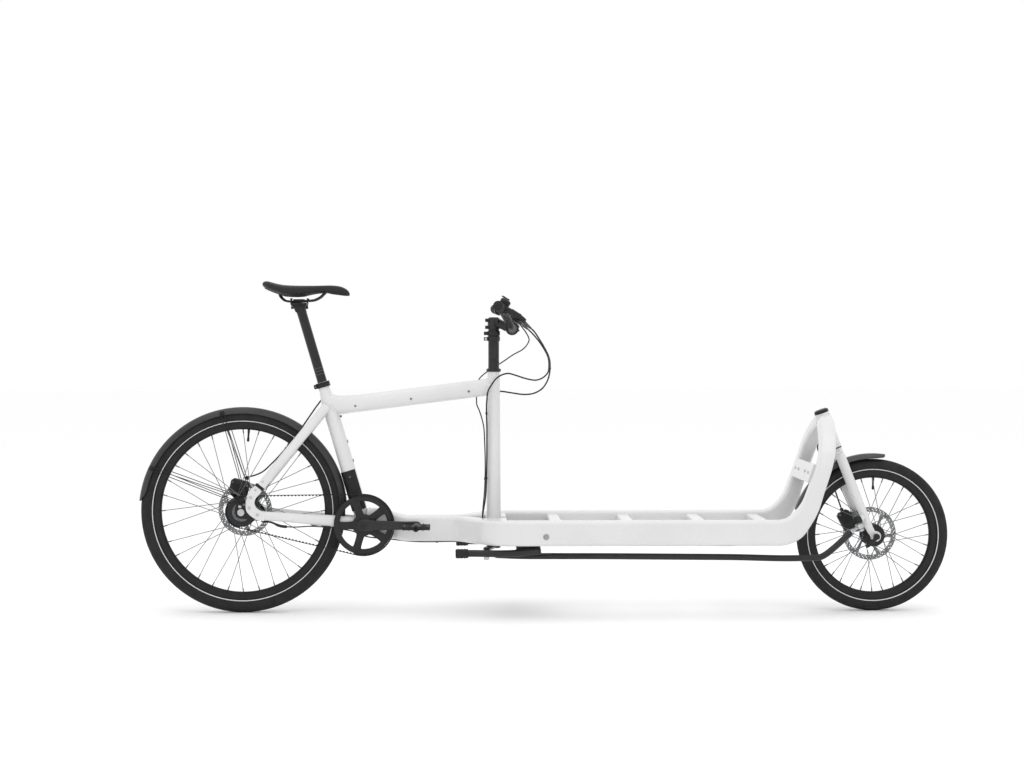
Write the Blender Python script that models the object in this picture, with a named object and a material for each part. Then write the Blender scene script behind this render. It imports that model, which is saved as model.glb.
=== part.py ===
"""Front-loading cargo bicycle with belt drive, as separate named parts.

Frame of reference: metres, +X forward, +Y to the bicycle's left, +Z up. The origin is on the ground,
in the middle of the bicycle's length and width. Right-hand parts have negative Y.
"""
import math

import bmesh
import bpy
import numpy as np
from mathutils import Matrix, Vector

# ---------------------------------------------------------------- driving dimensions
GAP = 0.0003
TURNING_GAP = 0.0006
RIGHT, LEFT = -1, 1
SIDE_NAMES = {RIGHT: "right", LEFT: "left"}
X_AXIS = Vector((1, 0, 0))
Y_AXIS = Vector((0, 1, 0))
Z_AXIS = Vector((0, 0, 1))

REAR_AXLE = Vector((-0.970, 0, 0.3265))
FRONT_AXLE = Vector((1.056, 0, 0.245))
CRANK_AXIS = Vector((-0.583, 0, 0.284))
REAR_RADIUS, REAR_TYRE_WIDTH = 0.3265, 0.047
FRONT_RADIUS, FRONT_TYRE_WIDTH = 0.245, 0.042
REAR_RIM_INNER, REAR_RIM_OUTER = 0.2606, 0.2855
FRONT_RIM_INNER, FRONT_RIM_OUTER = 0.184, 0.209
WHEEL_STEPS = 32
SPOKES_PER_SIDE = 16
SPOKE_RADIUS = 0.0012

SEAT_ANGLE = math.radians(73.65)
SEAT_UP = Vector((-math.cos(SEAT_ANGLE), 0, math.sin(SEAT_ANGLE)))
SEAT_TUBE_LENGTH = 0.474
SEAT_TUBE_RADIUS, SEAT_TUBE_TOP_RADIUS = 0.0235, 0.018
SEATPOST_RADIUS = 0.0155

STEERING_X = -0.167
COLUMN_RADIUS = 0.0175
HEAD_BOTTOM = Vector((0.9325, 0, 0.526))
HEAD_TOP = Vector((0.892, 0, 0.638))
HEAD_UP = (HEAD_TOP - HEAD_BOTTOM).normalized()
HEAD_LENGTH = (HEAD_TOP - HEAD_BOTTOM).length
HEAD_RADIUS, STEERER_RADIUS = 0.024, 0.0143

RAIL_Y, RAIL_WIDTH, RAIL_BOTTOM, RAIL_TOP = 0.190, 0.060, 0.231, 0.309
RAIL_EDGE = 0.011
BELT_Y, BELT_HALF_WIDTH, BELT_THICKNESS = -0.050, 0.006, 0.0042
RING_RADIUS, SPROCKET_RADIUS = 0.0945, 0.0475
CRANK_LENGTH = 0.170
ROD_REAR = Vector((-0.191, -0.102, 0.196))
ROD_FRONT = Vector((0.996, -0.105, 0.283))
STAND_PIVOT = Vector((-0.033, 0, 0.214))
STAND_LEG_Y = 0.190
BAR_CLAMP = Vector((-0.108, 0, 0.910))

FINISHES = {
    "frame_white": ("E4E4E2", 0.35, 0.0),
    "black_metal": ("1E1E1F", 0.40, 0.8),
    "silver_metal": ("B9BABC", 0.30, 1.0),
    "rubber": ("262626", 0.85, 0.0),
    "black_plastic": ("1C1C1D", 0.50, 0.0),
    "hose": ("181818", 0.45, 0.0),
    "saddle_cover": ("232324", 0.65, 0.0),
}


# ---------------------------------------------------------------- scene, materials and bodies
def clear_scene():
    for old in list(bpy.data.objects):
        bpy.data.objects.remove(old, do_unlink=True)


def linear(channel):
    """One sRGB channel, 0 to 1, as the linear value that Blender's colours use."""
    return channel / 12.92 if channel <= 0.04045 else ((channel + 0.055) / 1.055) ** 2.4


def make_finish(name):
    colour, roughness, metallic = FINISHES[name]
    material = bpy.data.materials.new(name)
    material.use_nodes = True
    shader = material.node_tree.nodes["Principled BSDF"]
    rgb = [linear(int(colour[i:i + 2], 16) / 255) for i in (0, 2, 4)]
    shader.inputs["Base Color"].default_value = (*rgb, 1)
    shader.inputs["Roughness"].default_value = roughness
    shader.inputs["Metallic"].default_value = metallic
    return material


def make_body(name, pivot, parent=None):
    """An empty on a joint's axis; the pieces that turn together are its children."""
    body = bpy.data.objects.new(name, None)
    bpy.context.collection.objects.link(body)
    body.parent = parent
    body.location = Vector(pivot) - (pivot_of(parent) if parent else Vector())
    body["pivot"] = list(pivot)
    return body


def pivot_of(body):
    return Vector(body["pivot"])


def part(name, mesh, finish, body=None):
    """Make one named piece from a mesh in world coordinates, its origin on its body's axis."""
    piece = bpy.data.objects.new(name, mesh)
    bpy.context.collection.objects.link(piece)
    if body:
        mesh.transform(Matrix.Translation(-pivot_of(body)))
        piece.parent = body
    mesh.name = name
    mesh.materials.clear()
    mesh.materials.append(MATERIALS[finish])
    mesh.shade_smooth()
    mesh.set_sharp_from_angle(angle=math.radians(38))
    return piece


# ---------------------------------------------------------------- outlines
def ellipse(half_width, half_depth, sides=12):
    turns = [math.tau * (i + 0.5) / sides for i in range(sides)]
    return [(half_width * math.cos(t), half_depth * math.sin(t)) for t in turns]


def circle(radius, sides=12):
    return ellipse(radius, radius, sides)


def bevelled(width, depth, bevel):
    """A rectangle with cut corners, centred, as eight points."""
    w, d = width / 2, depth / 2
    corners = [(w, d), (-w, d), (-w, -d), (w, -d)]
    outline = []
    for a, b in corners:
        along = (a - math.copysign(bevel, a), b)
        down = (a, b - math.copysign(bevel, b))
        outline += [down, along] if a * b > 0 else [along, down]
    return outline


def ring_points(centre, radius, angles):
    """Points on a circle in the XZ plane, at angles in degrees from +X towards +Z."""
    turns = [math.radians(a) for a in angles]
    return [(centre.x + radius * math.cos(t), centre.z + radius * math.sin(t)) for t in turns]


# ---------------------------------------------------------------- solids
def build_mesh(points, faces):
    shape = bmesh.new()
    corners = [shape.verts.new(p) for p in points]
    for face in faces:
        shape.faces.new([corners[i] for i in face])
    bmesh.ops.remove_doubles(shape, verts=shape.verts, dist=1e-7)
    bmesh.ops.recalc_face_normals(shape, faces=shape.faces)
    mesh = bpy.data.meshes.new("solid")
    shape.to_mesh(mesh)
    shape.free()
    return mesh


def skin(rings, closed):
    """Join a row of equal outlines by quads, with flat end caps unless the row closes on itself."""
    sides = len(rings[0])
    points = [p for ring in rings for p in ring]
    faces = []
    for k in range(len(rings) if closed else len(rings) - 1):
        a, b = k * sides, (k + 1) % len(rings) * sides
        for i in range(sides):
            j = (i + 1) % sides
            faces.append((a + i, a + j, b + j, b + i))
    if not closed:
        faces.append(tuple(range(sides)))
        faces.append(tuple(range(len(points) - sides, len(points))))
    return build_mesh(points, faces)


def sweep(path, outlines, side=Y_AXIS, closed=False):
    """Carry an outline, or one outline per station, along a path; its first axis stays near side."""
    path = [Vector(p) for p in path]
    if not isinstance(outlines[0][0], (list, tuple)):
        outlines = [outlines] * len(path)
    rings = []
    for k, (point, outline) in enumerate(zip(path, outlines)):
        before = path[k - 1] if k or closed else point
        after = path[(k + 1) % len(path)] if k + 1 < len(path) or closed else point
        along = (after - before).normalized()
        across = (side - along * side.dot(along)).normalized()
        up = along.cross(across)
        rings.append([point + across * a + up * b for a, b in outline])
    return skin(rings, closed)


def turned(profile, start=Vector(), axis=Y_AXIS, sides=16, closed=False):
    """Turn (radius, distance) points about an axis; a closed profile gives a ring with a bore."""
    axis = axis.normalized()
    first = axis.orthogonal().normalized()
    second = axis.cross(first)
    turns = [math.tau * i / sides for i in range(sides)]
    if closed:
        profile = list(profile) + [profile[0]]
    points = []
    for radius, distance in profile:
        centre = start + axis * distance
        points += [centre + (first * math.cos(t) + second * math.sin(t)) * radius for t in turns]
    faces = []
    for k in range(len(profile) - 1):
        for i in range(sides):
            j = (i + 1) % sides
            faces.append((k * sides + i, k * sides + j, (k + 1) * sides + j, (k + 1) * sides + i))
    return build_mesh_with_poles(points, faces)


def build_mesh_with_poles(points, faces):
    """Like build_mesh, for quads of which one edge may have shrunk to a point on the axis."""
    keys = [tuple(round(c, 7) for c in p) for p in points]
    index = {key: n for n, key in enumerate(dict.fromkeys(keys))}
    merged = []
    for face in faces:
        corners = list(dict.fromkeys(index[keys[i]] for i in face))
        if len(corners) > 2:
            merged.append(tuple(corners))
    return build_mesh(list(index), merged)


def rod(path, radius, sides=10, side=Y_AXIS):
    return sweep(path, circle(radius, sides), side)


def plate(outline, y_from, y_to):
    """An outline of (x, z) points, thickened along Y."""
    return skin([[(x, y, z) for x, z in outline] for y in (y_from, y_to)], False)


def box(centre, size, tilt=0.0):
    """A block, tilted about Y by an angle in degrees."""
    turn = Matrix.Rotation(math.radians(tilt), 4, "Y")
    half = Vector(size) / 2
    rings = [
        [Vector(centre) + turn @ Vector((a * half.x, b * half.y, c * half.z))
         for a, c in ((-1, -1), (1, -1), (1, 1), (-1, 1))]
        for b in (-1, 1)
    ]
    return skin(rings, False)


def join(*meshes):
    """Put meshes in one mesh without merging them, for use as one cutter or one operand."""
    shape = bmesh.new()
    for mesh in meshes:
        shape.from_mesh(mesh)
    joined = bpy.data.meshes.new("joined")
    shape.to_mesh(joined)
    shape.free()
    return joined


def combine(base, tool, operation):
    """Boolean of two meshes with the exact solver, as a new mesh."""
    objects = [bpy.data.objects.new("operand", mesh) for mesh in (base, tool)]
    for operand in objects:
        bpy.context.collection.objects.link(operand)
    boolean = objects[0].modifiers.new("boolean", "BOOLEAN")
    boolean.object = objects[1]
    boolean.operation = operation
    view = bpy.context.evaluated_depsgraph_get()
    result = bpy.data.meshes.new_from_object(objects[0].evaluated_get(view))
    for operand in objects:
        bpy.data.objects.remove(operand, do_unlink=True)
    return result


def tidied(mesh, smallest=2e-6):
    """Merge the nearly equal corners that a Boolean can leave."""
    shape = bmesh.new()
    shape.from_mesh(mesh)
    before = len(shape.verts)
    bmesh.ops.remove_doubles(shape, verts=shape.verts, dist=smallest)
    if len(shape.verts) < before and all(len(edge.link_faces) == 2 for edge in shape.edges):
        shape.to_mesh(mesh)
    shape.free()
    return mesh


def union(*meshes):
    result = meshes[0]
    for mesh in meshes[1:]:
        result = combine(result, mesh, "UNION")
    return result


def cut(mesh, *cutters):
    for cutter in cutters:
        mesh = combine(mesh, cutter, "DIFFERENCE")
    return mesh


def bore(centre, radius, y_from, y_to, sides=16):
    """A cutter along Y through a centre."""
    centre = Vector((centre[0], 0, centre[2]))
    return turned([(0, y_from), (radius, y_from), (radius, y_to), (0, y_to)], centre, Y_AXIS, sides)


def smooth_route(points, spacing):
    """Points at even spacing along a Catmull-Rom curve through a cable's own points."""
    p = np.array([points[0], *points, points[-1]], dtype=float)
    fine = []
    for a, b, c, d in zip(p, p[1:], p[2:], p[3:]):
        for t in np.linspace(0, 1, 16, endpoint=False):
            fine.append(0.5 * (2 * b + (c - a) * t + (2 * a - 5 * b + 4 * c - d) * t**2
                               + (3 * b - a - 3 * c + d) * t**3))
    fine.append(p[-1])
    fine = np.array(fine)
    travelled = np.concatenate([[0], np.cumsum(np.linalg.norm(np.diff(fine, axis=0), axis=1))])
    count = max(2, round(travelled[-1] / spacing))
    stops = np.linspace(0, travelled[-1], count + 1)
    return [tuple(np.interp(s, travelled, fine[:, i]) for i in range(3)) for s in stops]


def cable(name, points, radius, spacing):
    """A hose or cable as a bevelled curve with filled ends."""
    route = smooth_route(points, spacing)
    curve = bpy.data.curves.new(name, "CURVE")
    curve.dimensions = "3D"
    spline = curve.splines.new("POLY")
    spline.points.add(len(route) - 1)
    for target, point in zip(spline.points, route):
        target.co = (*point, 1)
    curve.bevel_depth = radius
    curve.bevel_resolution = 1
    curve.use_fill_caps = True
    curve.materials.append(MATERIALS["hose"])
    piece = bpy.data.objects.new(name, curve)
    bpy.context.collection.objects.link(piece)
    return piece


# ---------------------------------------------------------------- welded frame
def seat_axis_point(distance):
    return CRANK_AXIS + SEAT_UP * distance


def seat_tube_outside(extra=0.0):
    radius, top = SEAT_TUBE_RADIUS + extra, SEAT_TUBE_TOP_RADIUS + extra
    return turned([(0, 0), (radius, 0), (radius, 0.395), (top, 0.440), (top, SEAT_TUBE_LENGTH),
                   (0, SEAT_TUBE_LENGTH)], CRANK_AXIS, SEAT_UP)


def make_seat_tube():
    shell = bore(CRANK_AXIS, 0.023, -0.0365, 0.0365)
    tube = union(seat_tube_outside(), shell)
    bore_radius = SEATPOST_RADIUS + GAP
    post_bore = turned([(0, 0.10), (bore_radius, 0.10), (bore_radius, 0.60), (0, 0.60)], CRANK_AXIS, SEAT_UP)
    tube = cut(tube, post_bore, bore(CRANK_AXIS, 0.0125, -0.05, 0.05))
    part("seat_tube", tidied(tube), "frame_white")


def make_seat_clamp():
    inner = SEAT_TUBE_TOP_RADIUS + GAP
    ring = turned([(inner, 0.457), (0.0225, 0.457), (0.0225, 0.4735), (inner, 0.4735)], CRANK_AXIS, SEAT_UP,
                  closed=True)
    lug_centre = seat_axis_point(0.465) + Vector((-0.0235, 0, -0.0069))
    lug = box(lug_centre, (0.010, 0.018, 0.014), tilt=-16.35)
    part("seat_clamp", union(ring, lug), "black_metal")


def steering_tube_outside(extra=0.0):
    foot = Vector((STEERING_X, 0, 0))
    return turned([(0, 0.236 - extra), (0.0233 + extra, 0.236 - extra), (0.0233 + extra, RAIL_TOP),
                   (0.0198 + extra, 0.772), (0, 0.772)], foot, Z_AXIS)


def make_steering_tube(rail_cutters):
    """The vertical tube, welded to a cross box that joins the two rails."""
    box_outline = [(-0.034, -0.130), (0.034, -0.185), (0.034, 0.185), (-0.034, 0.130)]
    cross_box = sweep([(STEERING_X + 0.007, 0, z) for z in (0.236, 0.304)], box_outline, side=X_AXIS)
    cross_box = cut(cross_box, *rail_cutters)
    tube = union(steering_tube_outside(), cross_box)
    bore_radius = COLUMN_RADIUS + TURNING_GAP
    column_bore = turned([(0, 0.20), (bore_radius, 0.20), (bore_radius, 0.80), (0, 0.80)],
                         Vector((STEERING_X, 0, 0)), Z_AXIS)
    part("steering_tube", cut(tube, column_bore), "frame_white")


TOP_TUBE_REAR = Vector((-0.690, 0, 0.659))
TOP_TUBE_FRONT = Vector((STEERING_X, 0, 0.7247))


def make_top_tube():
    path = [TOP_TUBE_REAR.lerp(TOP_TUBE_FRONT, t) for t in (0, 0.35, 0.7, 1)]
    outlines = [ellipse(w, 0.0275, 14) for w in (0.0225, 0.0225, 0.0205, 0.019)]
    tube = cut(sweep(path, outlines), seat_tube_outside(GAP), steering_tube_outside(GAP))
    part("top_tube", tube, "frame_white")


def rail_stations():
    """(x, y, z, width, depth) of a rail, from the bottom bracket to the head tube."""
    middle, depth = (RAIL_TOP + RAIL_BOTTOM) / 2, RAIL_TOP - RAIL_BOTTOM
    return [
        (-0.5680, 0.0184, 0.2950, 0.0354, 0.085),
        (-0.535, 0.0184, 0.2890, 0.0354, 0.086),
        (-0.485, 0.0190, 0.2775, 0.0366, 0.080),
        (-0.440, 0.0253, middle, 0.0500, depth),
        (-0.300, 0.0258, middle, 0.0510, depth),
        (-0.268, 0.0380, middle, 0.0560, depth),
        (-0.215, 0.1080, middle, RAIL_WIDTH, depth),
        (-0.172, 0.1640, middle, RAIL_WIDTH, depth),
        (-0.135, 0.1870, middle, RAIL_WIDTH, depth),
        (-0.095, RAIL_Y, middle, RAIL_WIDTH, depth),
        (0.725, RAIL_Y, middle, RAIL_WIDTH, depth),
        (0.762, RAIL_Y, 0.280, RAIL_WIDTH, 0.075),
        (0.796, RAIL_Y, 0.312, RAIL_WIDTH, 0.062),
        (0.822, RAIL_Y, 0.352, RAIL_WIDTH, 0.053),
        (0.840, RAIL_Y, 0.402, RAIL_WIDTH, 0.048),
        (0.8625, 0.1880, 0.466, 0.058, 0.046),
        (0.8730, 0.1800, 0.502, 0.056, 0.045),
        (0.8810, 0.1560, 0.536, 0.052, 0.044),
        (0.8890, 0.1080, 0.573, 0.050, 0.042),
        (0.8960, 0.0480, 0.602, 0.048, 0.040),
        (0.8990, 0.0100, 0.614, 0.046, 0.036),
    ]


def rail_outside(hand, extra=0.0):
    stations = rail_stations()
    path = [(x, hand * y, z) for x, y, z, _, _ in stations]
    outlines = [bevelled(w + 2 * extra, d + 2 * extra, min(RAIL_EDGE, w / 3)) for _, _, _, w, d in stations]
    return sweep(path, outlines)


def make_rails():
    head_cutter = turned([(0, -0.06), (HEAD_RADIUS + GAP, -0.06), (HEAD_RADIUS + GAP, 0.16), (0, 0.16)],
                         HEAD_BOTTOM, HEAD_UP)
    shell_cutter = bore(CRANK_AXIS, 0.023 + GAP, -0.0368, 0.0368)
    for hand, name in SIDE_NAMES.items():
        rail = cut(rail_outside(hand), head_cutter, seat_tube_outside(GAP), shell_cutter)
        part(f"rail_{name}", rail, "frame_white")


def make_cross_members():
    """Four tubes between the rails' inner faces, under the load bed."""
    reach = RAIL_Y - RAIL_WIDTH / 2 - GAP
    for number, x in enumerate((0.030, 0.260, 0.490, 0.690), start=1):
        member = sweep([(x, -reach, 0.269), (x, reach, 0.269)], bevelled(0.062, 0.040, 0.006), side=Z_AXIS)
        part(f"cross_member_{number}", member, "frame_white")


def make_head_tube():
    inner = STEERER_RADIUS + TURNING_GAP
    tube = turned([(inner, 0), (HEAD_RADIUS, 0), (HEAD_RADIUS, HEAD_LENGTH), (inner, HEAD_LENGTH)],
                  HEAD_BOTTOM, HEAD_UP, closed=True)
    part("head_tube", tube, "frame_white")


def make_front_brace():
    reach = RAIL_Y - RAIL_WIDTH / 2 - GAP
    brace = box((0.833, 0, 0.453), (0.010, 2 * reach, 0.062), tilt=19)
    part("front_brace", brace, "frame_white")


# ---------------------------------------------------------------- rear triangle
YOKE_INNER, YOKE_OUTER = 0.0720, 0.0800
LEFT_YOKE_INNER = 0.0675
YOKE_OUTLINE = [
    (-0.9225, 0.416), (-0.9440, 0.392), (-0.9530, 0.374), (-0.9555, 0.340), (-0.9480, 0.323),
    (-0.9210, 0.303), (-0.8900, 0.302), (-0.8900, 0.330), (-0.9060, 0.331), (-0.9220, 0.342),
    (-0.9275, 0.356), (-0.9240, 0.370), (-0.9130, 0.382), (-0.9010, 0.396),
]
AXLE_PLATE_OUTLINE = [
    (-0.952, 0.384), (-0.934, 0.386), (-0.926, 0.374), (-0.930, 0.350), (-0.908, 0.329),
    (-0.906, 0.309), (-0.935, 0.301), (-0.970, 0.3085), (-0.986, 0.319), (-0.989, 0.338), (-0.984, 0.358),
]


def chainstay(hand):
    """From the bottom-bracket shell to the yoke, slim beside the tyre and the belt ring."""
    stations = [
        (-0.594, 0.0270, 0.289, 0.0085, 0.0185), (-0.640, 0.0355, 0.292, 0.0085, 0.0185),
        (-0.690, 0.0362, 0.297, 0.0085, 0.0180), (-0.750, 0.0470, 0.302, 0.0100, 0.0165),
        (-0.830, 0.0610, 0.310, 0.0100, 0.0150), (-0.895, 0.0740, 0.316, 0.0080, 0.0140),
    ]
    path = [(x, hand * y, z) for x, y, z, _, _ in stations]
    tube = sweep(path, [ellipse(w, d, 12) for _, _, _, w, d in stations])
    shell = bore(CRANK_AXIS, 0.023 + GAP, -0.037, 0.037)
    return cut(tube, shell, seat_tube_outside(GAP))


def seatstay(hand, foot):
    """From its foot at the yoke to the side of the seat tube, clear of the rear mudguard."""
    stations = [
        (*foot, 0.0070, 0.0140), (-0.8500, 0.0660, 0.4790, 0.0100, 0.0150),
        (-0.8000, 0.0560, 0.5400, 0.0110, 0.0155), (-0.7650, 0.0480, 0.5830, 0.0110, 0.0155),
        (-0.7360, 0.0370, 0.6190, 0.0110, 0.0155), (-0.6980, 0.0190, 0.6640, 0.0100, 0.0150),
    ]
    path = [(x, hand * y, z) for x, y, z, _, _ in stations]
    tube = sweep(path, [ellipse(w, d, 12) for _, _, _, w, d in stations])
    return cut(tube, seat_tube_outside(GAP))


def make_rear_triangle():
    axle_hole = bore(REAR_AXLE, 0.0053, -0.1, 0.1)
    split_block = box((-0.9103, -0.0760, 0.4079), (0.028, 0.0076, 0.0088), tilt=38.5)
    right = union(chainstay(RIGHT), plate(YOKE_OUTLINE, -YOKE_OUTER, -YOKE_INNER), split_block)
    part("chainstay_right", right, "frame_white")
    part("seatstay_right", seatstay(RIGHT, (-0.9050, 0.0760, 0.4100)), "frame_white")
    axle_plate = plate(AXLE_PLATE_OUTLINE, -0.0715, -0.0675)
    part("axle_plate_right", cut(axle_plate, axle_hole), "black_metal")
    left_plate = union(plate(YOKE_OUTLINE, LEFT_YOKE_INNER, YOKE_OUTER),
                       plate(AXLE_PLATE_OUTLINE, LEFT_YOKE_INNER, LEFT_YOKE_INNER + 0.006))
    left = union(chainstay(LEFT), left_plate, seatstay(LEFT, (-0.9165, 0.0750, 0.3955)))
    part("rear_stay_left", cut(left, axle_hole), "frame_white")


def make_rear_axle():
    """A fixed shaft with locknuts inside the dropouts and wheel nuts outside."""
    shaft, collar, nut = 0.005, 0.011, 0.0105
    profile = [(0, -0.0860), (shaft, -0.0860), (shaft, -0.0805), (nut, -0.0805), (nut, -0.0718),
               (shaft, -0.0718), (shaft, -0.0672), (collar, -0.0672), (collar, -0.0605), (shaft, -0.0605),
               (shaft, 0.0560), (collar, 0.0560), (collar, 0.0672), (shaft, 0.0672),
               (shaft, 0.0803), (nut, 0.0803), (nut, 0.0885), (shaft, 0.0885), (shaft, 0.0940), (0, 0.0940)]
    part("rear_axle", turned(profile, REAR_AXLE, sides=8), "silver_metal")


# ---------------------------------------------------------------- wheels
def make_tyre(name, centre, radius, width, rim_outer, body):
    half = width / 2
    crown = radius - half
    bead = rim_outer + GAP
    outer = [math.radians(a) for a in (-126, -84, -42, 0, 42, 84, 126)]
    profile = [(bead, -0.0115)]
    profile += [(crown + half * math.cos(a), half * math.sin(a)) for a in outer]
    profile += [(bead, 0.0115)]
    part(name, turned(profile, centre, sides=WHEEL_STEPS, closed=True), "rubber", body)


def make_rim(name, centre, inner, outer, body):
    profile = [(inner, -0.005), (inner + 0.008, -0.0115), (outer, -0.0125),
               (outer, 0.0125), (inner + 0.008, 0.0115), (inner, 0.005)]
    part(name, turned(profile, centre, sides=WHEEL_STEPS, closed=True), "black_metal", body)


def laced_spokes(centre, hub_radius, hub_y, rim_radius, rim_y, lead):
    """One side's spokes: every other one leans forward by the lead angle, the rest lean back."""
    sets = []
    for direction in (1, -1):
        spokes = []
        for k in range(SPOKES_PER_SIDE // 2):
            step = 360 / SPOKES_PER_SIDE
            start = step * (2 * k + (direction < 0))
            (x0, z0), = ring_points(centre, hub_radius, [start])
            (x1, z1), = ring_points(centre, rim_radius, [start + direction * lead])
            slimmer = 1.0 if direction > 0 else 0.93
            spokes.append(rod([(x0, hub_y, z0), (x1, rim_y, z1)], SPOKE_RADIUS * slimmer, 4))
        sets.append(join(*spokes))
    return union(*sets)


def make_rotor(name, centre, y, body, bore_radius):
    """A brake disc with six windows between its arms."""
    radius, thickness = 0.086, 0.0020
    disc = turned([(bore_radius, y), (radius, y), (radius, y + thickness), (bore_radius, y + thickness)],
                  centre, sides=24, closed=True)
    windows = []
    for k in range(6):
        outer = ring_points(centre, 0.068, [60 * k + a for a in (2, 26, 50)])
        inner = ring_points(centre, 0.031, [60 * k + a for a in (26, -4)])
        windows.append(plate(outer + inner, y - 0.005, y + 0.005))
    part(name, cut(disc, join(*windows)), "silver_metal", body)


def make_rear_wheel(body):
    make_tyre("rear_tyre", REAR_AXLE, REAR_RADIUS, REAR_TYRE_WIDTH, REAR_RIM_OUTER, body)
    make_rim("rear_rim", REAR_AXLE, REAR_RIM_INNER, REAR_RIM_OUTER, body)
    hub = [(0.0053, -0.0415), (0.030, -0.0415), (0.046, -0.033), (0.046, -0.0285),
           (0.0405, -0.026), (0.0405, 0.026), (0.046, 0.0285), (0.046, 0.033),
           (0.022, 0.040), (0.022, 0.0496), (0.0147, 0.0496), (0.0147, 0.0555), (0.0053, 0.0555)]
    part("rear_hub", turned(hub, REAR_AXLE, sides=20, closed=True), "black_metal", body)
    for hand, name in SIDE_NAMES.items():
        spokes = laced_spokes(REAR_AXLE, 0.0478, hand * 0.030, REAR_RIM_INNER - 0.002, hand * 0.003, 45)
        part(f"rear_spokes_{name}", spokes, "silver_metal", body)
    make_rotor("rear_rotor", REAR_AXLE, 0.0500, body, 0.0150)


def make_front_wheel(body):
    make_tyre("front_tyre", FRONT_AXLE, FRONT_RADIUS, FRONT_TYRE_WIDTH, FRONT_RIM_OUTER, body)
    make_rim("front_rim", FRONT_AXLE, FRONT_RIM_INNER, FRONT_RIM_OUTER, body)
    hub = [(0.0063, -0.0495), (0.011, -0.0495), (0.011, -0.036), (0.036, -0.0290),
           (0.036, -0.0250), (0.032, -0.022), (0.032, 0.018), (0.036, 0.0210), (0.036, 0.0250),
           (0.022, 0.030), (0.022, 0.0366), (0.011, 0.0366), (0.011, 0.0495), (0.0063, 0.0495)]
    part("front_hub", turned(hub, FRONT_AXLE, sides=20, closed=True), "black_metal", body)
    for hand, flange in ((RIGHT, -0.027), (LEFT, 0.023)):
        spokes = laced_spokes(FRONT_AXLE, 0.0378, flange, FRONT_RIM_INNER - 0.002, hand * 0.003, 45)
        part(f"front_spokes_{SIDE_NAMES[hand]}", spokes, "silver_metal", body)
    make_rotor("front_rotor", FRONT_AXLE, 0.0370, body, 0.0113)


# ---------------------------------------------------------------- belt drive
def make_belt():
    """A band round both rings: two arcs joined by the outer tangents."""
    reach = REAR_AXLE - CRANK_AXIS
    lean = math.degrees(math.atan2(reach.z, reach.x))
    spread = math.degrees(math.acos((RING_RADIUS - SPROCKET_RADIUS) / reach.length))
    middle = BELT_THICKNESS / 2 + 2 * GAP
    front = np.linspace(lean + spread - 360, lean - spread, 24)
    rear = np.linspace(lean - spread, lean + spread, 14)
    loop = ring_points(CRANK_AXIS, RING_RADIUS + middle, front)
    loop += ring_points(REAR_AXLE, SPROCKET_RADIUS + middle, rear)
    path = [(x, BELT_Y, z) for x, z in loop]
    half_width, half_thickness = BELT_HALF_WIDTH, BELT_THICKNESS / 2
    band = [(half_width, half_thickness), (-half_width, half_thickness),
            (-half_width, -half_thickness), (half_width, -half_thickness)]
    part("belt", sweep(path, band, closed=True), "rubber")


def make_sprocket(body):
    profile = [(0.0053, -0.0600), (0.018, -0.0600), (0.018, -0.0545), (SPROCKET_RADIUS, -0.0545),
               (SPROCKET_RADIUS, -0.0455), (0.030, -0.0455), (0.028, -0.0420), (0.0053, -0.0420)]
    part("rear_sprocket", turned(profile, REAR_AXLE, sides=24, closed=True), "black_metal", body)


def make_belt_ring(body):
    """The front belt ring with five arms; the crank lies midway between two of them."""
    profile = [(0.0124, -0.0545), (RING_RADIUS, -0.0545), (RING_RADIUS, -0.0455), (0.0124, -0.0455)]
    ring = turned(profile, CRANK_AXIS, sides=32, closed=True)
    windows = []
    for k in range(5):
        middle = 2 + 72 * k
        outline = ring_points(CRANK_AXIS, 0.076, [middle + a for a in (-26, 0, 26)])
        outline += ring_points(CRANK_AXIS, 0.036, [middle + 15, middle - 15])
        windows.append(plate(outline, -0.06, -0.04))
    part("belt_ring", cut(ring, join(*windows)), "black_metal", body)


def crank_arm(hand, direction):
    """An arm from the crank axis to the pedal, with the pedal's pin."""
    stations = [(-0.018, 0.0650, 0.013, 0.028), (0.0, 0.0650, 0.014, 0.038), (0.025, 0.0665, 0.014, 0.034),
                (0.090, 0.0705, 0.013, 0.028), (CRANK_LENGTH, 0.0755, 0.012, 0.026),
                (CRANK_LENGTH + 0.012, 0.0760, 0.011, 0.018)]
    path = [CRANK_AXIS + Vector((direction * x, hand * y, 0)) for x, y, _, _ in stations]
    arm = sweep(path, [bevelled(w, h, 0.004) for _, _, w, h in stations])
    pin = bore(CRANK_AXIS + Vector((direction * CRANK_LENGTH, 0, 0)), 0.0045,
               *sorted((hand * 0.0750, hand * 0.172)), sides=12)
    return union(arm, pin)


def make_cranks(body):
    part("crank_right", crank_arm(RIGHT, 1), "black_metal", body)
    axle = bore(CRANK_AXIS, 0.012, -0.0575, 0.064)
    part("crank_left", union(crank_arm(LEFT, -1), axle), "black_metal", body)


def pedal_centre(hand):
    return CRANK_AXIS + Vector((-hand * CRANK_LENGTH, hand * 0.1300, 0))


def make_pedal(hand, body):
    centre = pedal_centre(hand)
    sizes = [(0.070, 0.018), (0.092, 0.026), (0.092, 0.026), (0.070, 0.018)]
    block = sweep([centre + X_AXIS * x for x in (-0.044, -0.038, 0.038, 0.044)],
                  [bevelled(w, h, 0.005) for w, h in sizes])
    windows = [box(centre + Vector((x, 0, 0)), (0.022, 0.070, 0.06)) for x in (-0.0235, 0.0235)]
    pin_hole = bore(centre, 0.0049, *sorted((hand * 0.06, hand * 0.1725)), sides=12)
    block = cut(block, join(*windows), pin_hole)
    part(f"pedal_{SIDE_NAMES[hand]}", block, "black_plastic", body)


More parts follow.
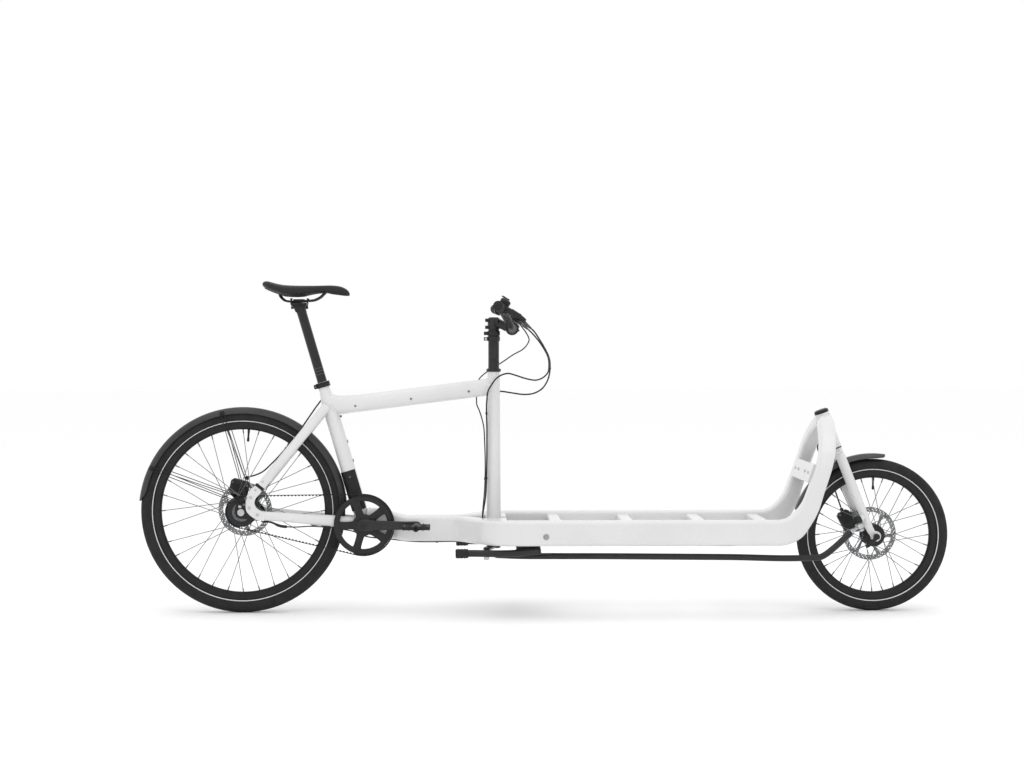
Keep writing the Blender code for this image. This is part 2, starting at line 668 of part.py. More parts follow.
# ---------------------------------------------------------------- seat
def make_seatpost(body):
    post = turned([(0, 0.22), (SEATPOST_RADIUS, 0.22), (SEATPOST_RADIUS, 0.722), (0, 0.722)],
                  CRANK_AXIS, SEAT_UP, sides=20)
    head = box((-0.7880, 0, 0.9880), (0.040, 0.062, 0.034))
    head = cut(head, join(*saddle_rails(0.0040)))
    part("seatpost", union(post, head), "black_metal", body)


def saddle_rails(radius):
    """The two rails under the saddle, bent up into its shell at both ends."""
    path = [(-0.852, 1.030), (-0.845, 1.010), (-0.831, 0.998), (-0.800, 0.9965), (-0.745, 1.000),
            (-0.705, 1.032)]
    return [rod([(x, hand * 0.022, z) for x, z in path], radius, 8) for hand in SIDE_NAMES]


def make_saddle(body):
    stations = [
        (-0.904, 0.046, 1.058, 1.044), (-0.892, 0.064, 1.062, 1.030), (-0.862, 0.071, 1.060, 1.018),
        (-0.820, 0.066, 1.054, 1.012), (-0.780, 0.050, 1.049, 1.014), (-0.740, 0.034, 1.047, 1.017),
        (-0.700, 0.025, 1.045, 1.019), (-0.660, 0.020, 1.040, 1.017), (-0.638, 0.017, 1.034, 1.014),
        (-0.628, 0.009, 1.026, 1.014),
    ]
    rings = []
    for x, half, top, bottom in stations:
        shoulder = bottom + 0.55 * (top - bottom)
        upper = [(0.0, top), (0.55 * half, top - 0.0015), (0.88 * half, 0.6 * top + 0.4 * shoulder)]
        lower = [(half, shoulder), (0.93 * half, bottom), (0.35 * half, bottom + 0.3 * (top - bottom))]
        outline = upper + lower + [(-y, z) for y, z in reversed(upper[1:] + lower)]
        rings.append([(x, y, z) for y, z in outline])
    part("saddle", union(skin(rings, False), *saddle_rails(0.0035)), "saddle_cover", body)


# ---------------------------------------------------------------- steering
def make_steering_column(body):
    """The column inside the steering tube, with bearing ring, clamp rings and the steering arm."""
    foot = Vector((STEERING_X, 0, 0))
    profile = [(0, 0.2055), (0.022, 0.2055), (0.022, 0.2255), (COLUMN_RADIUS, 0.2255),
               (COLUMN_RADIUS, 0.7723), (0.0235, 0.7723), (0.0235, 0.782), (COLUMN_RADIUS, 0.784),
               (COLUMN_RADIUS, 0.870), (0.0205, 0.870), (0.0205, 0.885), (0.0180, 0.8855), (0.0180, 0.8875),
               (0.0205, 0.888), (0.0205, 0.902), (COLUMN_RADIUS, 0.902), (COLUMN_RADIUS, 0.908),
               (STEERER_RADIUS, 0.908), (STEERER_RADIUS, 0.939), (0, 0.939)]
    column = turned(profile, foot, Z_AXIS)
    arm_z = 0.2115
    arm = sweep([(STEERING_X, 0, arm_z), (STEERING_X - 0.014, -0.060, arm_z),
                 (ROD_REAR.x, ROD_REAR.y, arm_z), (ROD_REAR.x - 0.002, ROD_REAR.y - 0.012, arm_z)],
                [bevelled(w, 0.010, 0.002) for w in (0.030, 0.024, 0.022, 0.012)], side=X_AXIS)
    stud = turned([(0, 0.178), (0.009, 0.178), (0.009, 0.187), (0.006, 0.187), (0.006, 0.212), (0, 0.212)],
                  Vector((ROD_REAR.x, ROD_REAR.y, 0)), Z_AXIS, sides=14)
    part("steering_column", union(column, arm, stud), "black_metal", body)


def bar_path(reach=0.310):
    """The riser handlebar's centre line from right to left."""
    half = [(-0.108, 0.035, 0.910), (-0.113, 0.060, 0.917), (-0.128, 0.105, 0.950), (-0.137, 0.135, 0.965),
            (-0.145, 0.165, 0.971), (-0.150, 0.200, 0.973), (-0.158, reach, 0.978)]
    return [(x, -y, z) for x, y, z in reversed(half)] + half


def make_stem(body):
    foot = Vector((STEERING_X, 0, 0))
    clamp = turned([(0, 0.9083), (0.0195, 0.9083), (0.0195, 0.943), (0.0165, 0.945), (0, 0.945)],
                   foot, Z_AXIS)
    neck = sweep([(STEERING_X, 0, 0.927), (-0.140, 0, 0.921), BAR_CLAMP],
                 [bevelled(w, h, 0.005) for w, h in ((0.032, 0.030), (0.030, 0.027), (0.036, 0.027))])
    bar_clamp = bore(BAR_CLAMP, 0.0212, -0.0225, 0.0225)
    inner = STEERER_RADIUS + GAP
    column_bore = turned([(0, 0.89), (inner, 0.89), (inner, 0.9395), (0, 0.9395)], foot, Z_AXIS)
    stem = union(clamp, neck, bar_clamp)
    part("stem", cut(stem, column_bore, bore(BAR_CLAMP, 0.0159 + GAP, -0.05, 0.05)), "black_metal", body)


def make_handlebar(body):
    bar = sweep(bar_path(), circle(0.0111, 10), side=Z_AXIS)
    middle = bore(BAR_CLAMP, 0.0159, -0.033, 0.033)
    part("handlebar", union(bar, middle), "black_metal", body)


def bar_point(y):
    """A point of the bar's outer stretch at a distance from the middle plane."""
    return Vector((-0.150, 0.200, 0.973)).lerp(Vector((-0.158, 0.310, 0.978)), (y - 0.200) / 0.110)


def make_grip(hand, body):
    ends = [bar_point(y) for y in (0.2005, 0.206, 0.310, 0.316)]
    path = [(p.x, hand * p.y, p.z) for p in ends]
    sleeve = sweep(path, [circle(r, 12) for r in (0.0150, 0.0158, 0.0158, 0.0148)], side=Z_AXIS)
    inside = [(p.x, hand * p.y, p.z) for p in (bar_point(0.15), bar_point(0.3105))]
    bar_cutter = rod(inside, 0.0117, 10, side=Z_AXIS)
    part(f"grip_{SIDE_NAMES[hand]}", cut(sleeve, bar_cutter), "rubber", body)


LEVER_SLOPE = Vector((0.848, 0, -0.530))
LEVER_NORMAL = Vector((0.530, 0, 0.848))
SHIFTER_CENTRE = Vector((-0.1322, -0.154, 0.9928))
SHIFT_PIVOT = SHIFTER_CENTRE + LEVER_NORMAL * 0.0115


def lever_pivot(hand):
    return Vector((-0.104, hand * 0.163, 0.941))


def make_brake_housing(hand, body):
    """Bar clamp, master cylinder and the fork that holds the lever; the right one has the shifter."""
    centre = Vector((-0.1462, hand * 0.172, 0.9718))
    clamp = bore(centre, 0.0170, *sorted((hand * 0.163, hand * 0.179)), sides=16)
    reach = [centre + LEVER_SLOPE * d for d in (0.010, 0.030, 0.060, 0.084)]
    cylinder = sweep([p + LEVER_NORMAL * 0.004 for p in reach],
                     [bevelled(0.020, h, 0.005) for h in (0.018, 0.024, 0.024, 0.016)])
    lever_slot = box(lever_pivot(hand) + Vector((0.004, hand * 0.012, 0)) - LEVER_NORMAL * 0.006,
                     (0.040, 0.040, 0.0125), tilt=32)
    bar_cutter = sweep([(x, y, z) for x, y, z in bar_path()], circle(0.0114, 10), side=Z_AXIS)
    housing = cut(union(clamp, cylinder), lever_slot)
    if hand == RIGHT:
        pod = [(0, -0.014), (0.013, -0.014), (0.017, -0.009), (0.017, 0.004), (0.010, 0.009), (0, 0.009)]
        shifter = turned(pod, SHIFTER_CENTRE, LEVER_NORMAL)
        housing = union(housing, shifter)
    part(f"brake_housing_{SIDE_NAMES[hand]}", cut(housing, bar_cutter), "black_metal", body)


def make_brake_lever(hand, body):
    pivot = lever_pivot(hand) - LEVER_NORMAL * 0.006
    stations = [(0.000, -0.006, 0.012), (0.006, 0.008, 0.013), (0.018, 0.030, 0.012), (0.027, 0.062, 0.011),
                (0.024, 0.094, 0.011), (0.022, 0.112, 0.008)]
    path = [pivot + LEVER_SLOPE * d + Vector((0, hand * y, 0)) for d, y, _ in stations]
    blade = sweep(path, [bevelled(w, 0.0085, 0.002) for _, _, w in stations], side=LEVER_SLOPE)
    part(f"brake_lever_{SIDE_NAMES[hand]}", blade, "black_metal", body)


def make_shift_lever(body):
    """The thumb paddle on the shifter's housing."""
    path = [SHIFT_PIVOT + LEVER_SLOPE * d + Y_AXIS * y
            for d, y in ((0.007, 0), (-0.006, 0.004), (-0.026, 0.014))]
    paddle = sweep(path, [bevelled(w, 0.004, 0.001) for w in (0.012, 0.011, 0.014)], side=LEVER_SLOPE)
    part("shift_lever", paddle, "black_plastic", body)


def rod_path():
    """The push rod: out under the right rail, then up and in to the fork."""
    return [
        (-0.165, -0.104, 0.1930), (-0.090, -0.110, 0.1905), (0.020, -0.118, 0.1905), (0.160, -0.155, 0.1940),
        (0.300, -0.185, 0.1960), (0.838, -0.185, 0.1910), (0.866, -0.182, 0.1950), (0.890, -0.168, 0.2100),
        (0.950, -0.130, 0.2530), (0.962, -0.123, 0.2620),
    ]


def make_push_rod(body):
    tube = rod(rod_path(), 0.0100, 8)
    rear_eye = turned([(0.0072, -0.006), (0.0135, -0.006), (0.0135, 0.006), (0.0072, 0.006)],
                      ROD_REAR, Z_AXIS, sides=14, closed=True)
    rear_shank = rod([ROD_REAR + Vector((0.011, -0.0003, -0.0008)), (-0.158, -0.1045, 0.1927)], 0.0048, 8)
    front_eye = turned([(0.0088, -0.007), (0.0150, -0.007), (0.0150, 0.007), (0.0088, 0.007)], ROD_FRONT,
                       HEAD_UP, sides=14, closed=True)
    front_shank = rod([(0.957, -0.126, 0.258), (0.984, -0.1115, 0.2765)], 0.0062, 8)
    part("push_rod", union(tube, rear_shank, rear_eye, front_shank, front_eye), "black_metal", body)


# ---------------------------------------------------------------- fork and what it carries
def head_point(distance, y=0.0):
    return HEAD_BOTTOM + HEAD_UP * distance + Y_AXIS * y


def make_fork(body):
    """Steerer with its top cap, crown, two legs, dropouts and the steering boss on the right leg."""
    race, top = -TURNING_GAP, HEAD_LENGTH + TURNING_GAP
    steerer = turned([(0, -0.036), (0.019, -0.036), (0.0235, -0.008), (0.0235, race), (STEERER_RADIUS, race),
                      (STEERER_RADIUS, top), (0.0235, top), (0.0235, top + 0.008), (0.018, top + 0.012),
                      (0, top + 0.012)], HEAD_BOTTOM, HEAD_UP)
    crown_ends = [head_point(-0.0215, y) for y in (-0.063, 0.063)]
    crown = sweep(crown_ends, bevelled(0.027, 0.029, 0.006), side=HEAD_UP)
    fork = union(steerer, crown)
    for hand in SIDE_NAMES:
        path = [(0.938, hand * 0.065, 0.510), (0.958, hand * 0.065, 0.458), (1.018, hand * 0.064, 0.312),
                (1.041, hand * 0.0612, 0.261), (1.050, hand * 0.0590, 0.2475)]
        leg = sweep(path, [circle(r, 12) for r in (0.0155, 0.0160, 0.0130, 0.0110, 0.0080)])
        dropout = bore(FRONT_AXLE, 0.0165, *sorted((hand * 0.0503, hand * 0.0640)), sides=18)
        fork = union(fork, leg, dropout)
    boss = rod([(1.017, -0.066, 0.314), ROD_FRONT + HEAD_UP * 0.0190 + Vector((0, 0.004, 0))], 0.0085, 8)
    cap = turned([(0, 0.0105), (0.0125, 0.0105), (0.0135, 0.020), (0.0110, 0.030), (0, 0.032)], ROD_FRONT,
                 HEAD_UP, sides=16)
    stud = turned([(0, -0.018), (0.0085, -0.018), (0.0085, -0.0105), (0.005, -0.0105), (0.005, 0.012),
                   (0, 0.012)], ROD_FRONT, HEAD_UP, sides=12)
    fork = union(fork, boss, cap, stud)
    part("fork", tidied(cut(fork, bore(FRONT_AXLE, 0.0063, -0.1, 0.1))), "frame_white", body)


def make_front_axle(body):
    """Quick-release axle whose lever folds back along the fork's right leg."""
    axle = turned([(0, -0.088), (0.008, -0.088), (0.010, -0.080), (0.010, -0.0695), (0.006, -0.0695),
                   (0.006, 0.0695), (0.0095, 0.0695), (0.0095, 0.077), (0, 0.077)], FRONT_AXLE)
    lever = sweep([FRONT_AXLE + Vector(p) for p in
                   ((0.004, -0.084, 0.003), (-0.016, -0.085, -0.015), (-0.036, -0.086, -0.032))],
                  [bevelled(0.007, w, 0.002) for w in (0.012, 0.013, 0.010)])
    part("front_axle", union(axle, lever), "black_metal", body)


def make_caliper(name, centre, tilt, slot_y, outer_y, inner_y, size, body):
    """A caliper body straddling the brake disc, with a slot that the disc runs in."""
    block = sweep([centre + Vector((0, y, 0)) for y in (inner_y, inner_y + 0.004, outer_y - 0.006, outer_y)],
                  [bevelled(size[1] - d, size[0] - d, 0.008) for d in (0.006, 0, 0, 0.010)],
                  side=Vector((math.sin(math.radians(tilt)), 0, math.cos(math.radians(tilt)))))
    axle = FRONT_AXLE if body else REAR_AXLE
    slot = bore(axle, 0.0885, slot_y - 0.0022, slot_y + 0.0022, sides=40)
    part(name, cut(block, slot), "black_metal", body)


def guard_strip(centre, radius, width, skirt, angles, fade=0.0):
    """A mudguard: a thin channel bent round a wheel, open on the tyre's side."""
    half, wall = width / 2, 0.002
    rings = []
    for k, angle in enumerate(angles):
        drop = skirt * (1 - fade if k in (0, len(angles) - 1) else 1)
        outline = [(-half, -drop), (-half + 0.004, 0), (half - 0.004, 0), (half, -drop), (half - wall, -drop),
                   (half - 0.0055, -wall), (-half + 0.0055, -wall), (-half + wall, -drop)]
        turn = math.radians(angle)
        out = Vector((math.cos(turn), 0, math.sin(turn)))
        rings.append([centre + out * (radius + b) + Y_AXIS * a for a, b in outline])
    return skin(rings, False)


def make_front_fender(body):
    strip = guard_strip(FRONT_AXLE, 0.263, 0.054, 0.014, np.linspace(82, 162, 12), 0.4)
    bracket_ends = [FRONT_AXLE + Vector((-0.1120, 0, 0.2360)), head_point(-0.0365) + Vector((0.006, 0, -0.004))]
    bracket = sweep(bracket_ends, bevelled(0.020, 0.012, 0.002))
    part("front_fender", union(strip, bracket), "black_plastic", body)


def make_rear_fender():
    """The rear mudguard with a pair of stays on each side, from the dropouts to its edge."""
    strip = guard_strip(REAR_AXLE, 0.3325, 0.060, 0.019, np.linspace(174.5, 2.5, 22), 0.5)
    stays = []
    for hand in SIDE_NAMES:
        for (x, z), angle in (((-0.9535, 0.372), 101.5), ((-0.9585, 0.352), 154.5)):
            (x1, z1), = ring_points(REAR_AXLE, 0.3205, [angle])
            stays.append(rod([(x, hand * 0.0835, z), (x1, hand * 0.0290, z1)], 0.0022, 6))
    part("rear_fender", union(strip, *stays), "black_plastic")


# ---------------------------------------------------------------- stand
def make_stand_bracket():
    """A plate under the rails with an ear on each side that carries the stand's cross tube."""
    bracket = box((-0.0615, 0, 0.2260), (0.077, 0.354, 0.009))
    ear_outline = [(-0.100, 0.224), (-0.100, 0.212), (-0.060, 0.203), (-0.030, 0.201), (-0.023, 0.208),
                   (-0.023, 0.224)]
    for hand in SIDE_NAMES:
        ear = plate(ear_outline, *sorted((hand * 0.165, hand * 0.177)))
        bracket = union(bracket, ear)
    hole = bore(STAND_PIVOT, 0.0075 + GAP, -0.2, 0.2, sides=16)
    part("stand_bracket", cut(bracket, hole), "black_metal")


def make_stand(body):
    """Two legs on one cross tube, folded back under the rails."""
    stand = bore(STAND_PIVOT, 0.0075, -0.196, 0.196, sides=16)
    for hand in SIDE_NAMES:
        y = hand * STAND_LEG_Y
        path = [(-0.022, y, 0.2140), (-0.050, y, 0.2125), (-0.090, y, 0.2085), (-0.252, y, 0.2075)]
        leg = rod(path, 0.0110, 12)
        foot = rod([(-0.250, y, 0.2070), (-0.289, y, 0.2065)], 0.0150, 12)
        stand = union(stand, leg, foot)
    part("stand", stand, "black_metal", body)


# ---------------------------------------------------------------- hoses and cable
FRONT_HOSE_ROUTE = [
    (-0.047, 0.162, 0.905), (-0.024, 0.155, 0.880), (-0.002, 0.135, 0.848), (0.012, 0.105, 0.818),
    (0.014, 0.075, 0.793), (0.010, 0.050, 0.770), (-0.008, 0.025, 0.752), (-0.028, 0.005, 0.745),
    (-0.064, -0.022, 0.750), (-0.098, -0.038, 0.761), (-0.122, -0.042, 0.767), (-0.142, -0.040, 0.762),
    (-0.158, -0.038, 0.752), (-0.174, -0.036, 0.731), (-0.186, -0.032, 0.708), (-0.189, -0.028, 0.683),
    (-0.189, -0.025, 0.579), (-0.190, -0.025, 0.458), (-0.194, -0.026, 0.368), (-0.2035, -0.026, 0.304),
    (-0.2055, -0.026, 0.264), (-0.2055, -0.026, 0.237), (-0.2010, -0.031, 0.2250), (-0.184, -0.049, 0.2235),
    (-0.150, -0.092, 0.2255), (-0.118, -0.132, 0.2330), (-0.095, -0.149, 0.2365), (-0.040, -0.151, 0.2365),
    (0.005, -0.151, 0.2335), (0.060, -0.151, 0.2330), (0.300, -0.151, 0.2330), (0.690, -0.151, 0.2330),
    (0.745, -0.152, 0.2400), (0.790, -0.153, 0.2800), (0.822, -0.153, 0.3300), (0.848, -0.153, 0.4000),
    (0.870, -0.149, 0.4700), (0.879, -0.125, 0.5130), (0.884, -0.075, 0.5350), (0.885, 0.000, 0.5400),
    (0.890, 0.060, 0.5200), (0.914, 0.086, 0.4700), (0.944, 0.078, 0.4020), (0.958, 0.056, 0.3500),
    (0.965, 0.046, 0.3262),
]
REAR_HOSE_ROUTE = [
    (-0.047, -0.162, 0.905), (-0.026, -0.155, 0.876), (-0.005, -0.140, 0.841), (0.008, -0.105, 0.812),
    (0.011, -0.075, 0.787), (0.010, -0.050, 0.765), (0.002, -0.020, 0.737), (-0.015, 0.005, 0.714),
    (-0.040, 0.020, 0.701), (-0.072, 0.030, 0.698), (-0.103, 0.036, 0.702), (-0.148, 0.040, 0.708),
    (-0.200, 0.031, 0.703), (-0.247, 0.028, 0.700), (-0.432, 0.0285, 0.678), (-0.600, 0.029, 0.657),
    (-0.640, 0.031, 0.656), (-0.670, 0.037, 0.668), (-0.695, 0.042, 0.689), (-0.715, 0.043, 0.686),
    (-0.735, 0.043, 0.664), (-0.755, 0.046, 0.636), (-0.800, 0.057, 0.573), (-0.887, 0.062, 0.472),
    (-0.915, 0.060, 0.447), (-0.940, 0.056, 0.436), (-0.956, 0.053, 0.432),
]
GEAR_CABLE_ROUTE = [
    (-0.101, -0.149, 0.9450), (-0.085, -0.147, 0.920), (-0.068, -0.138, 0.898), (-0.057, -0.115, 0.876),
    (-0.061, -0.088, 0.861), (-0.074, -0.060, 0.845), (-0.104, -0.022, 0.827), (-0.147, 0.026, 0.797),
    (-0.184, 0.036, 0.774), (-0.215, 0.036, 0.745), (-0.222, 0.0365, 0.702), (-0.222, 0.030, 0.681),
    (-0.221, 0.018, 0.665), (-0.214, 0.002, 0.649), (-0.200, -0.008, 0.600), (-0.196, -0.012, 0.540),
    (-0.196, -0.012, 0.400), (-0.2035, -0.012, 0.304), (-0.2035, -0.012, 0.252), (-0.212, -0.012, 0.233),
    (-0.240, -0.010, 0.2270), (-0.300, -0.008, 0.2265), (-0.430, -0.008, 0.2270), (-0.520, -0.010, 0.2370),
    (-0.560, -0.020, 0.2415), (-0.583, -0.028, 0.2470), (-0.615, -0.0345, 0.2620), (-0.655, -0.0360, 0.2695),
    (-0.748, -0.049, 0.2800),
    (-0.811, -0.060, 0.2790), (-0.850, -0.0655, 0.2840), (-0.876, -0.0650, 0.2950), (-0.908, -0.0615, 0.2965),
]


def make_cables():
    cable("front_hose", FRONT_HOSE_ROUTE, 0.0025, 0.040)
    cable("rear_hose", REAR_HOSE_ROUTE, 0.0025, 0.032)
    cable("gear_cable", GEAR_CABLE_ROUTE, 0.0020, 0.032)


# ---------------------------------------------------------------- assembly
def make_root():
    rail_cutters = [rail_outside(hand, GAP) for hand in SIDE_NAMES]
    make_seat_tube()
    make_seat_clamp()
    make_steering_tube(rail_cutters)
    make_top_tube()
    make_rails()
    make_cross_members()
    make_head_tube()
    make_front_brace()
    make_rear_triangle()
    make_rear_axle()
    make_belt()
    make_rear_fender()
    make_caliper("rear_caliper", Vector((-0.988, 0, 0.398)), 15, 0.0510, 0.0640, 0.0395, (0.062, 0.050), None)
    make_stand_bracket()
    make_cables()


def make_moving():
    make_rear_wheel(make_body("rear_wheel_axis", REAR_AXLE))
    make_sprocket(make_body("sprocket_axis", REAR_AXLE))
    cranks = make_body("crank_axis", CRANK_AXIS)
    make_belt_ring(cranks)
    make_cranks(cranks)
    for hand, name in SIDE_NAMES.items():
        make_pedal(hand, make_body(f"pedal_{name}_axis", pedal_centre(hand), cranks))
    seat = make_body("seatpost_axis", seat_axis_point(SEAT_TUBE_LENGTH))
    make_seatpost(seat)
    make_saddle(seat)
    steering = make_body("steering_axis", (STEERING_X, 0, RAIL_TOP))
    make_steering_column(steering)
    make_stem(steering)
    make_handlebar(steering)
    for hand, name in SIDE_NAMES.items():
        make_grip(hand, steering)
        make_brake_housing(hand, steering)
        make_brake_lever(hand, make_body(f"brake_lever_{name}_axis", lever_pivot(hand), steering))
    make_shift_lever(make_body("shift_lever_axis", SHIFT_PIVOT, steering))
    make_push_rod(make_body("push_rod_axis", ROD_REAR, steering))
    fork = make_body("fork_axis", HEAD_BOTTOM)
    make_fork(fork)
    make_front_fender(fork)
    make_caliper("front_caliper", Vector((0.9800, 0, 0.2880)), 62, 0.0380, 0.0500, 0.0265, (0.066, 0.044),
                 fork)
    make_front_wheel(make_body("front_wheel_axis", FRONT_AXLE, fork))
    make_front_axle(make_body("front_axle_axis", FRONT_AXLE, fork))
    make_stand(make_body("stand_axis", STAND_PIVOT))


clear_scene()
MATERIALS = {name: make_finish(name) for name in FINISHES}
make_root()
make_moving()
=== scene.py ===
"""Front-loading cargo bicycle with belt drive: the finished look of every piece, in metres and the frame's axes."""
import math

import bmesh
import bpy
import numpy as np
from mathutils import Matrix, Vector, geometry


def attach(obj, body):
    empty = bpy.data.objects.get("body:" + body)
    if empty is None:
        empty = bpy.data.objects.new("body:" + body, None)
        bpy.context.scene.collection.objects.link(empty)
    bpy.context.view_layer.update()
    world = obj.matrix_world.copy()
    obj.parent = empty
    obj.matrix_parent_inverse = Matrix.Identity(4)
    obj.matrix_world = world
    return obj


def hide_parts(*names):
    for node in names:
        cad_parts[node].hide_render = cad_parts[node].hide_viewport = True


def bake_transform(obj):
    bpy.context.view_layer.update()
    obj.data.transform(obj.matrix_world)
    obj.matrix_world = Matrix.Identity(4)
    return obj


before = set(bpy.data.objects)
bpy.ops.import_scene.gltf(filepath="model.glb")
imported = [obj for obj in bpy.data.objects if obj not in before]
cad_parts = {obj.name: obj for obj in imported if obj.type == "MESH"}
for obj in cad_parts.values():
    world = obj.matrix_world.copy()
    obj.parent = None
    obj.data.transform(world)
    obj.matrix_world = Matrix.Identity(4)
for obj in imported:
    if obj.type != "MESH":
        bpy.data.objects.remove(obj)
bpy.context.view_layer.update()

# ---------------------------------------------------------------- studio
# A seamless white floor, one broad soft light overhead, a weaker one from the viewer's side, and a long lens
# at hip height square to the bicycle's right side, which is how such a bicycle is shown in a catalogue.
CAMERA_PLACE = (-0.259, -6.31, 0.87)
CAMERA_PITCH, CAMERA_YAW = math.radians(88.75), math.radians(-1.37)
CAMERA_LENS = 69.05


def srgb(code, alpha=1.0):
    """A hex colour as linear red, green and blue: each channel is raised to the power 2.4 above the toe."""
    channels = np.array([int(code[i:i + 2], 16) / 255 for i in (0, 2, 4)])
    linear = np.where(channels <= 0.04045, channels / 12.92, ((channels + 0.055) / 1.055) ** 2.4)
    return (*linear.tolist(), alpha)


def add_node(tree, kind, sockets=None, **settings):
    """Add one shader node: settings are its own properties, sockets its inputs, as values or outputs to link."""
    node = tree.nodes.new(kind)
    for key, value in settings.items():
        setattr(node, key, value)
    for key, value in (sockets or {}).items():
        if isinstance(value, bpy.types.NodeSocket):
            tree.links.new(value, node.inputs[key])
        else:
            node.inputs[key].default_value = value
    return node


def soft_light(name, place, aim, size, watts):
    """A rectangular light panel that faces a point."""
    light = bpy.data.lights.new(name, "AREA")
    light.shape = "RECTANGLE"
    light.size, light.size_y = size
    light.energy = watts
    panel = bpy.data.objects.new(name, light)
    bpy.context.scene.collection.objects.link(panel)
    panel.location = place
    panel.rotation_euler = (Vector(aim) - Vector(place)).to_track_quat("-Z", "Y").to_euler()
    return panel


camera = bpy.data.objects.new("camera", bpy.data.cameras.new("camera"))
bpy.context.scene.collection.objects.link(camera)
camera.location = CAMERA_PLACE
camera.rotation_euler = (CAMERA_PITCH, 0.0, CAMERA_YAW)
camera.data.lens = CAMERA_LENS
camera.data.sensor_width = 36.0
camera.data.clip_end = 200.0
bpy.context.scene.camera = camera

soft_light("overhead_panel", (0.0, -0.6, 4.2), (0.0, 0.0, 0.0), (6.0, 3.5), 48)
soft_light("viewer_panel", (0.3, -5.5, 3.2), (0.0, 0.0, 0.5), (5.0, 2.5), 12)

world = bpy.data.worlds.new("studio_white")
world.use_nodes = True
world.node_tree.nodes["Background"].inputs["Color"].default_value = srgb("FFFFFF")
world.node_tree.nodes["Background"].inputs["Strength"].default_value = 1.0
bpy.context.scene.world = world
bpy.context.scene.view_settings.view_transform = "Standard"

FLOOR_HALF = 30.0
floor_mesh = bpy.data.meshes.new("floor")
floor_corners = [(x * FLOOR_HALF, y * FLOOR_HALF, 0.0) for x, y in ((-1, -1), (1, -1), (1, 1), (-1, 1))]
floor_mesh.from_pydata(floor_corners, [], [(0, 1, 2, 3)])
floor = bpy.data.objects.new("floor", floor_mesh)
bpy.context.scene.collection.objects.link(floor)
floor_paint = bpy.data.materials.new("matt_studio_paint")
floor_paint.use_nodes = True
floor_paint.node_tree.nodes["Principled BSDF"].inputs["Base Color"].default_value = srgb("FEFEFE")
floor_paint.node_tree.nodes["Principled BSDF"].inputs["Roughness"].default_value = 0.9
floor_mesh.materials.append(floor_paint)

# ---------------------------------------------------------------- load rails
# Two hydroformed aluminium rails with rounded corners run from the bottom bracket, spread round the steering
# tube, carry the load bed and sweep up to the head tube. Gloss white powder coat, baked at 200 degrees.


def patched(tree, first, second, size, amount):
    """Two near shades mixed over soft patches: noise of the given size in metres, held to a share of the blend."""
    place = add_node(tree, "ShaderNodeTexCoord")
    patches = add_node(tree, "ShaderNodeTexNoise", {"Vector": place.outputs["Object"], "Scale": 1.0 / size,
                                                    "Detail": 3.0, "Roughness": 0.55})
    share = add_node(tree, "ShaderNodeMapRange", {"Value": patches.outputs["Fac"], "From Min": 0.35, "From Max": 0.65,
                                                  "To Min": 0.0, "To Max": amount})
    return add_node(tree, "ShaderNodeMix", {"Factor": share.outputs["Result"], "A": first, "B": second},
                    data_type="RGBA").outputs["Result"]


def surface_finish(name, light, dark, patch, grain, relief, roughness, spread, metallic=0.0, coat=0.0, ior=1.5,
                   specular=0.5):
    """A surface with patches of two near shades, a noise relief of the grain's size, and uneven gloss."""
    material = bpy.data.materials.new(name)
    material.use_nodes = True
    tree = material.node_tree
    shader = tree.nodes["Principled BSDF"]
    shader.inputs["Metallic"].default_value = metallic
    shader.inputs["IOR"].default_value = ior
    shader.inputs["Specular IOR Level"].default_value = specular
    shader.inputs["Coat Weight"].default_value = coat
    shader.inputs["Coat Roughness"].default_value = 0.12
    colour = patched(tree, srgb(light), srgb(dark), patch, 1.0)
    tree.links.new(colour, shader.inputs["Base Color"])
    place = add_node(tree, "ShaderNodeTexCoord")
    grains = add_node(tree, "ShaderNodeTexNoise", {"Vector": place.outputs["Object"], "Scale": 1.0 / grain,
                                                   "Detail": 2.0, "Roughness": 0.6})
    gloss = add_node(tree, "ShaderNodeMapRange", {"Value": grains.outputs["Fac"], "From Min": 0.3, "From Max": 0.7,
                                                  "To Min": roughness - spread, "To Max": roughness + spread})
    tree.links.new(gloss.outputs["Result"], shader.inputs["Roughness"])
    bump = add_node(tree, "ShaderNodeBump", {"Height": grains.outputs["Fac"], "Distance": relief, "Strength": 1.0})
    tree.links.new(bump.outputs["Normal"], shader.inputs["Normal"])
    return material


def faired(stations, count):
    """Rows of numbers made dense and smooth: a cubic through each row, with slopes that never overshoot.

    The distance along the first three columns is the parameter. A slope is the harmonic mean of the two
    neighbouring chords' slopes, or nothing where they have opposite signs."""
    rows = np.asarray(stations, float)
    step = np.maximum(np.linalg.norm(np.diff(rows[:, :3], axis=0), axis=1), 1e-9)
    chord = np.diff(rows, axis=0) / step[:, None]
    before, after = chord[:-1], chord[1:]
    same = before * after > 0
    weight_a, weight_b = (2 * step[1:] + step[:-1])[:, None], (step[1:] + 2 * step[:-1])[:, None]
    safe_before, safe_after = np.where(same, before, 1.0), np.where(same, after, 1.0)
    inner = np.where(same, (weight_a + weight_b) / (weight_a / safe_before + weight_b / safe_after), 0.0)
    slope = np.vstack([chord[:1], inner, chord[-1:]])
    along = np.concatenate([[0.0], np.cumsum(step)])
    wanted = np.linspace(0.0, along[-1], count)
    k = np.clip(np.searchsorted(along, wanted, side="right") - 1, 0, len(step) - 1)
    t = ((wanted - along[k]) / step[k])[:, None]
    h = step[k][:, None]
    return ((1 + 2 * t) * (1 - t) ** 2 * rows[k] + t * (1 - t) ** 2 * h * slope[k]
            + t ** 2 * (3 - 2 * t) * rows[k + 1] + t ** 2 * (t - 1) * h * slope[k + 1])


